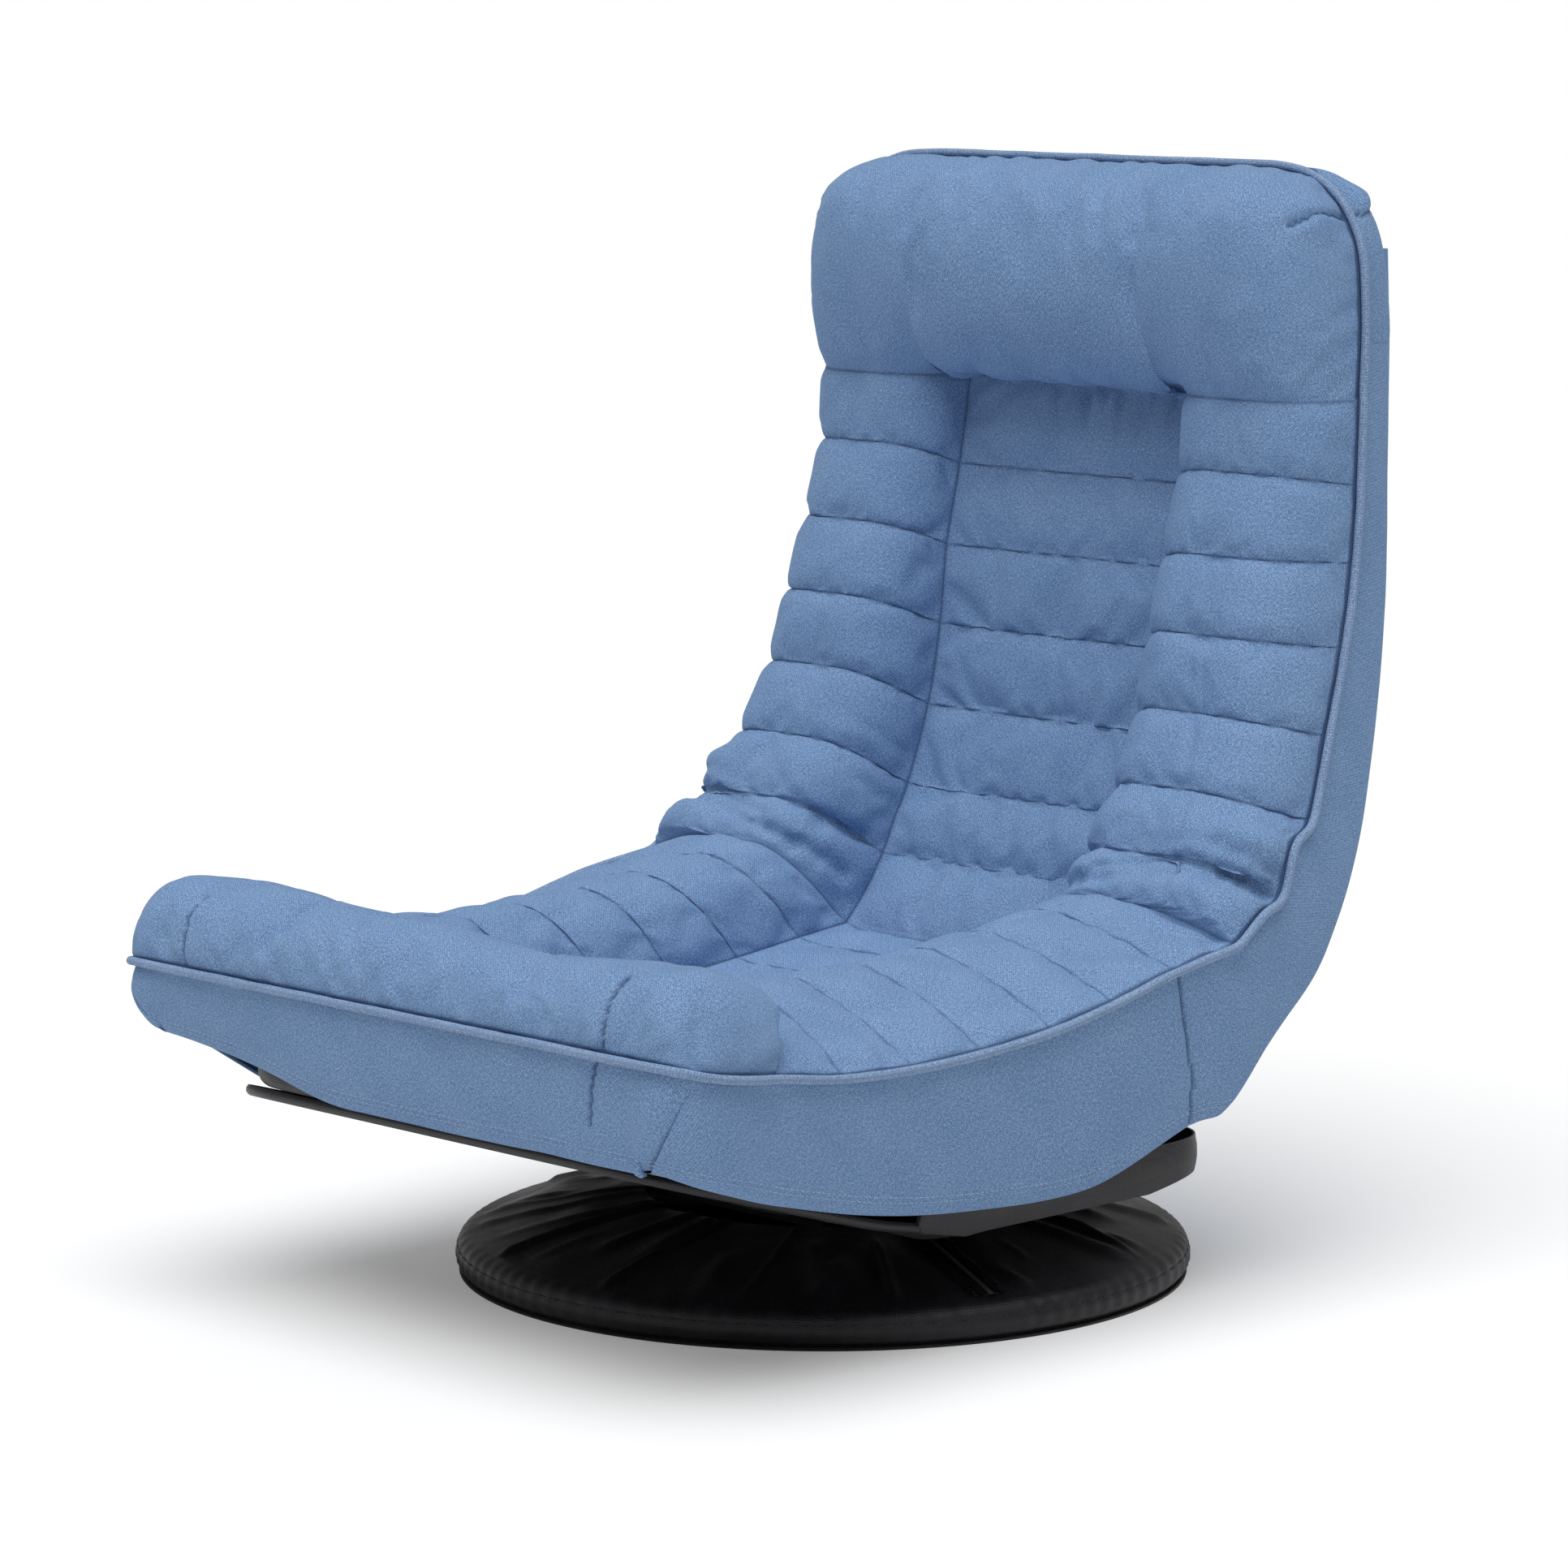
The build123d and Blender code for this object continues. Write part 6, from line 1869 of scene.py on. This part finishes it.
        round_line = [np.stack([ring * np.cos(turn), ring * np.sin(turn), level], -1)]
        thread = self.sewing.run("base_stitches", sides + round_line, self.finishes.black_thread,
                                 Slot.BLACK_CLOTH, 4, pitch=4.6 * MM, bead_length=3.6 * MM,
                                 bead_width=0.8 * MM, bead_height=0.8 * MM)
        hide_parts("base_cover_seam")
        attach(thread, "base")

    def tray_z(self, y: np.ndarray) -> np.ndarray:
        """Height of the tray's underside at a place along the chair."""
        line = np.array(self.tray_line) * MM
        return np.interp(y, line[:, 0], line[:, 1])

    def slung(self, place: np.ndarray) -> np.ndarray:
        """How far the tray's cloth is drawn up beside the frame's long tubes."""
        beside = smooth(np.abs(place[:, 0]), 165 * MM, 204 * MM)
        return 8 * MM * beside * smooth(place[:, 1], -170 * MM, -60 * MM)

    def build_tray(self) -> None:
        """Make the black cloth drawn up under the seat."""
        count = 480
        angle = np.linspace(0, 2 * math.pi, count, endpoint=False)
        direction = np.stack([np.cos(angle), np.sin(angle)], -1)
        reach_y = np.where(direction[:, 1] < 0, self.tray_front, self.tray_rear)
        outer = (np.abs(direction[:, 0] / (self.tray_half - 1 * MM)) ** self.tray_corner
                 + np.abs(direction[:, 1] / reach_y) ** self.tray_corner) ** (-1 / self.tray_corner)
        shares = np.concatenate([[0, 0.02, 0.05], np.linspace(0.09, 1, 40)])
        rows = []
        for share in shares:
            radius = self.tray_hole + (outer - self.tray_hole) * share
            place = direction * radius[:, None]
            z = self.tray_z(place[:, 1])
            pleat = 0.75 * MM * np.sin(angle * 37 + 3 * np.sin(angle * 5)) * math.sin(math.pi * share) ** 2
            lumps = 1.6 * MM * value_noise(place / (34 * MM), 15) * smooth(share, 0.1, 0.4) * (1 - share**4)
            rows.append(np.column_stack([place, z + self.slung(place) + pleat + lumps]))
        place = direction * outer[:, None]
        low = self.tray_z(place[:, 1]) + self.slung(place)
        high = np.maximum(low + 5 * MM, np.where(place[:, 1] > -120 * MM, self.rail_z, 0.0))
        for share in (0.15, 0.4, 0.7, 1.0):
            bulge = 1.5 * MM * math.sin(math.pi * share)
            out = place + direction * bulge
            rows.append(np.column_stack([out, low + (high - low) * share]))
        grid = np.array(rows)[:, ::-1]
        piece = self.ring("tray_cloth", grid, 1.2 * MM)
        self.finishes.dress(piece, self.finishes.oxford, Slot.BLACK_CLOTH)
        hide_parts("seat_tray")
        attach(piece, "seat")


# ------------------------------------------------------------------ studio
@dataclass
class Studio:
    """Pale floor, one soft light and the camera."""

    viewpoint: tuple[float, float, float] = (2.53770, -2.48479, 0.82674)
    azimuth: float = math.radians(46.0)
    pitch: float = math.radians(8.3232)
    lens: float = 131.6
    floor_half: float = 6.0
    floor_glow: float = 0.20
    ambient: float = 0.29
    sun: float = 2.4
    sun_width: float = math.radians(56)
    sun_direction: tuple[float, float, float] = (0.18, -0.28, 0.94)

    def camera(self) -> None:
        """Place the camera that sees the chair from its front left corner."""
        back = np.array([math.sin(self.azimuth) * math.cos(self.pitch),
                         -math.cos(self.azimuth) * math.cos(self.pitch), math.sin(self.pitch)])
        right = np.array([math.cos(self.azimuth), math.sin(self.azimuth), 0.0])
        up = np.cross(back, right)
        data = bpy.data.cameras.new("view")
        data.lens = self.lens
        data.sensor_width = 36.0
        data.clip_end = 50.0
        camera = bpy.data.objects.new("view", data)
        matrix = Matrix.Identity(4)
        for row in range(3):
            matrix[row][0], matrix[row][1], matrix[row][2], matrix[row][3] = (
                right[row], up[row], back[row], self.viewpoint[row])
        camera.matrix_world = matrix
        bpy.context.scene.collection.objects.link(camera)
        bpy.context.scene.camera = camera

    def floor(self) -> None:
        """Lay the floor, which reads white but keeps the chair's soft shadow."""
        half = self.floor_half
        piece = new_object("floor", [(-half, -half, 0), (half, -half, 0), (half, half, 0), (-half, half, 0)],
                           [(0, 1, 2, 3)])
        material, tree, output = blank_material("matt white floor")
        path = add(tree, "ShaderNodeLightPath")
        place = add(tree, "ShaderNodeTexCoord")
        speck = add(tree, "ShaderNodeTexNoise",
                    {"Vector": place.outputs["Object"], "Scale": 60.0, "Detail": 3.0})
        rough = add(tree, "ShaderNodeMapRange", {"Value": speck.outputs[0], "To Min": 0.85, "To Max": 0.95})
        body = add(tree, "ShaderNodeBsdfPrincipled",
                   {"Base Color": linear("#EDEDED"), "Roughness": rough.outputs[0],
                    "Specular IOR Level": 0.1})
        glow = add(tree, "ShaderNodeEmission", {"Color": linear("#FFFFFF"), "Strength": self.floor_glow})
        both = add(tree, "ShaderNodeAddShader", {0: body.outputs[0], 1: glow.outputs[0]})
        seen = add(tree, "ShaderNodeMixShader",
                   {0: path.outputs["Is Camera Ray"], 1: body.outputs[0], 2: both.outputs[0]})
        tree.links.new(seen.outputs[0], output.inputs[0])
        piece.data.materials.append(material)
        piece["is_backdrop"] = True

    def world(self) -> None:
        """Fill the room with even light behind a white background."""
        world = bpy.data.worlds.new("room")
        world.use_nodes = True
        tree = world.node_tree
        tree.nodes.clear()
        output = add(tree, "ShaderNodeOutputWorld")
        path = add(tree, "ShaderNodeLightPath")
        seen = add(tree, "ShaderNodeMath",
                   {0: path.outputs["Is Camera Ray"], 1: path.outputs["Is Transmission Ray"]},
                   operation="MAXIMUM")
        ambient = add(tree, "ShaderNodeBackground", {"Color": linear("#FFFFFF"), "Strength": self.ambient})
        white = add(tree, "ShaderNodeBackground", {"Color": linear("#FFFFFF"), "Strength": 1.0})
        mix = add(tree, "ShaderNodeMixShader",
                  {0: seen.outputs[0], 1: ambient.outputs[0], 2: white.outputs[0]})
        tree.links.new(mix.outputs[0], output.inputs[0])
        bpy.context.scene.world = world

    def lights(self) -> None:
        """Light the room from above the camera's right, as softly as a large window."""
        data = bpy.data.lights.new("window", "SUN")
        data.angle = self.sun_width
        data.energy = self.sun
        lamp = bpy.data.objects.new("window", data)
        away = unit(np.array(self.sun_direction))
        right = unit(np.cross([0.0, 0.0, 1.0], away))
        matrix = Matrix.Identity(4)
        for column, direction in enumerate((right, np.cross(away, right), away, away * 4)):
            for row in range(3):
                matrix[row][column] = direction[row]
        lamp.matrix_world = matrix
        bpy.context.scene.collection.objects.link(lamp)
        lamp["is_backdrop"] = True

    def build(self) -> None:
        """Set the whole studio up."""
        self.floor()
        self.world()
        self.lights()
        self.camera()
        scene = bpy.context.scene
        scene.view_settings.view_transform = "Standard"
        scene.view_settings.look = "None"


# ------------------------------------------------------------------ chair
def build_hem_stitches(sewing: Sewing, cushions: Cushions) -> None:
    """Sew the double hem of the apron and of both side bands.

    Args:
        sewing: Makes the stitches.
        cushions: Holds the outer faces of the cloth that the stitches follow.
    """
    sizes = {"pitch": 4.2 * MM, "bead_length": 3.3 * MM, "bead_width": 0.75 * MM, "bead_height": 0.75 * MM}
    from_hem = (13 * MM, 16.5 * MM)
    thread = sewing.finishes.thread
    for side in Side:
        band = cushions.borders[f"band_{side.word}"]
        low = band if side is Side.LEFT else band[:, ::-1]
        stop = int(np.argmin(np.abs(low[0, :, 1] - 112 * MM) + 9 * (low[0, :, 2] > 0.2)))
        rows = [row_at(low[:, :stop], distance, 0.15 * MM) for distance in from_hem]
        stitches = sewing.run(f"hem_stitches_{side.word}", rows, thread, Slot.BLUE_FABRIC, 8, **sizes)
        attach(stitches, "seat")
    apron = cushions.borders["apron"]
    rows = [row_at(apron, distance, 0.15 * MM) for distance in from_hem]
    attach(sewing.run("hem_stitches_front", rows, thread, Slot.BLUE_FABRIC, 9, **sizes), "seat")


def note_size(stage: str, sizes: dict[str, Any]) -> None:
    """Args:
        stage: Which moment.
        sizes: What has been kept so far; the new bounds are added to it.
    """
    sizes[stage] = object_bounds()
    LOG.info("bounds %s: %s", stage, sizes[stage])


def main() -> None:
    """Build the chair's looks on the frame."""
    logging.basicConfig(level=logging.INFO, stream=sys.stdout, format="%(name)s: %(message)s")
    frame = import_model()
    sizes: dict[str, Any] = {}
    note_size("frame", sizes)
    slots = {part["node"]: Slot(part["material_slot"]) for part in frame["record"]["subparts"]}
    finishes = Finishes()
    finishes.dress_frame(frame["nodes"], slots)
    cushions = Cushions(finishes)
    cushions.build_side_rolls()
    cushions.build_centres()
    cushions.build_ends()
    outer = OuterCloth(finishes, cushions)
    outer.build_piping()
    outer.build_side_bands()
    outer.build_rear()
    outer.build_hood()
    outer.build_apron()
    sewing = Sewing(finishes)
    base = BaseCloth(finishes, sewing)
    base.build_cover()
    base.build_zip()
    base.build_tray()
    build_hem_stitches(sewing, cushions)
    Studio().build()
    note_size("finished", sizes)


if __name__ == "__main__":
    main()
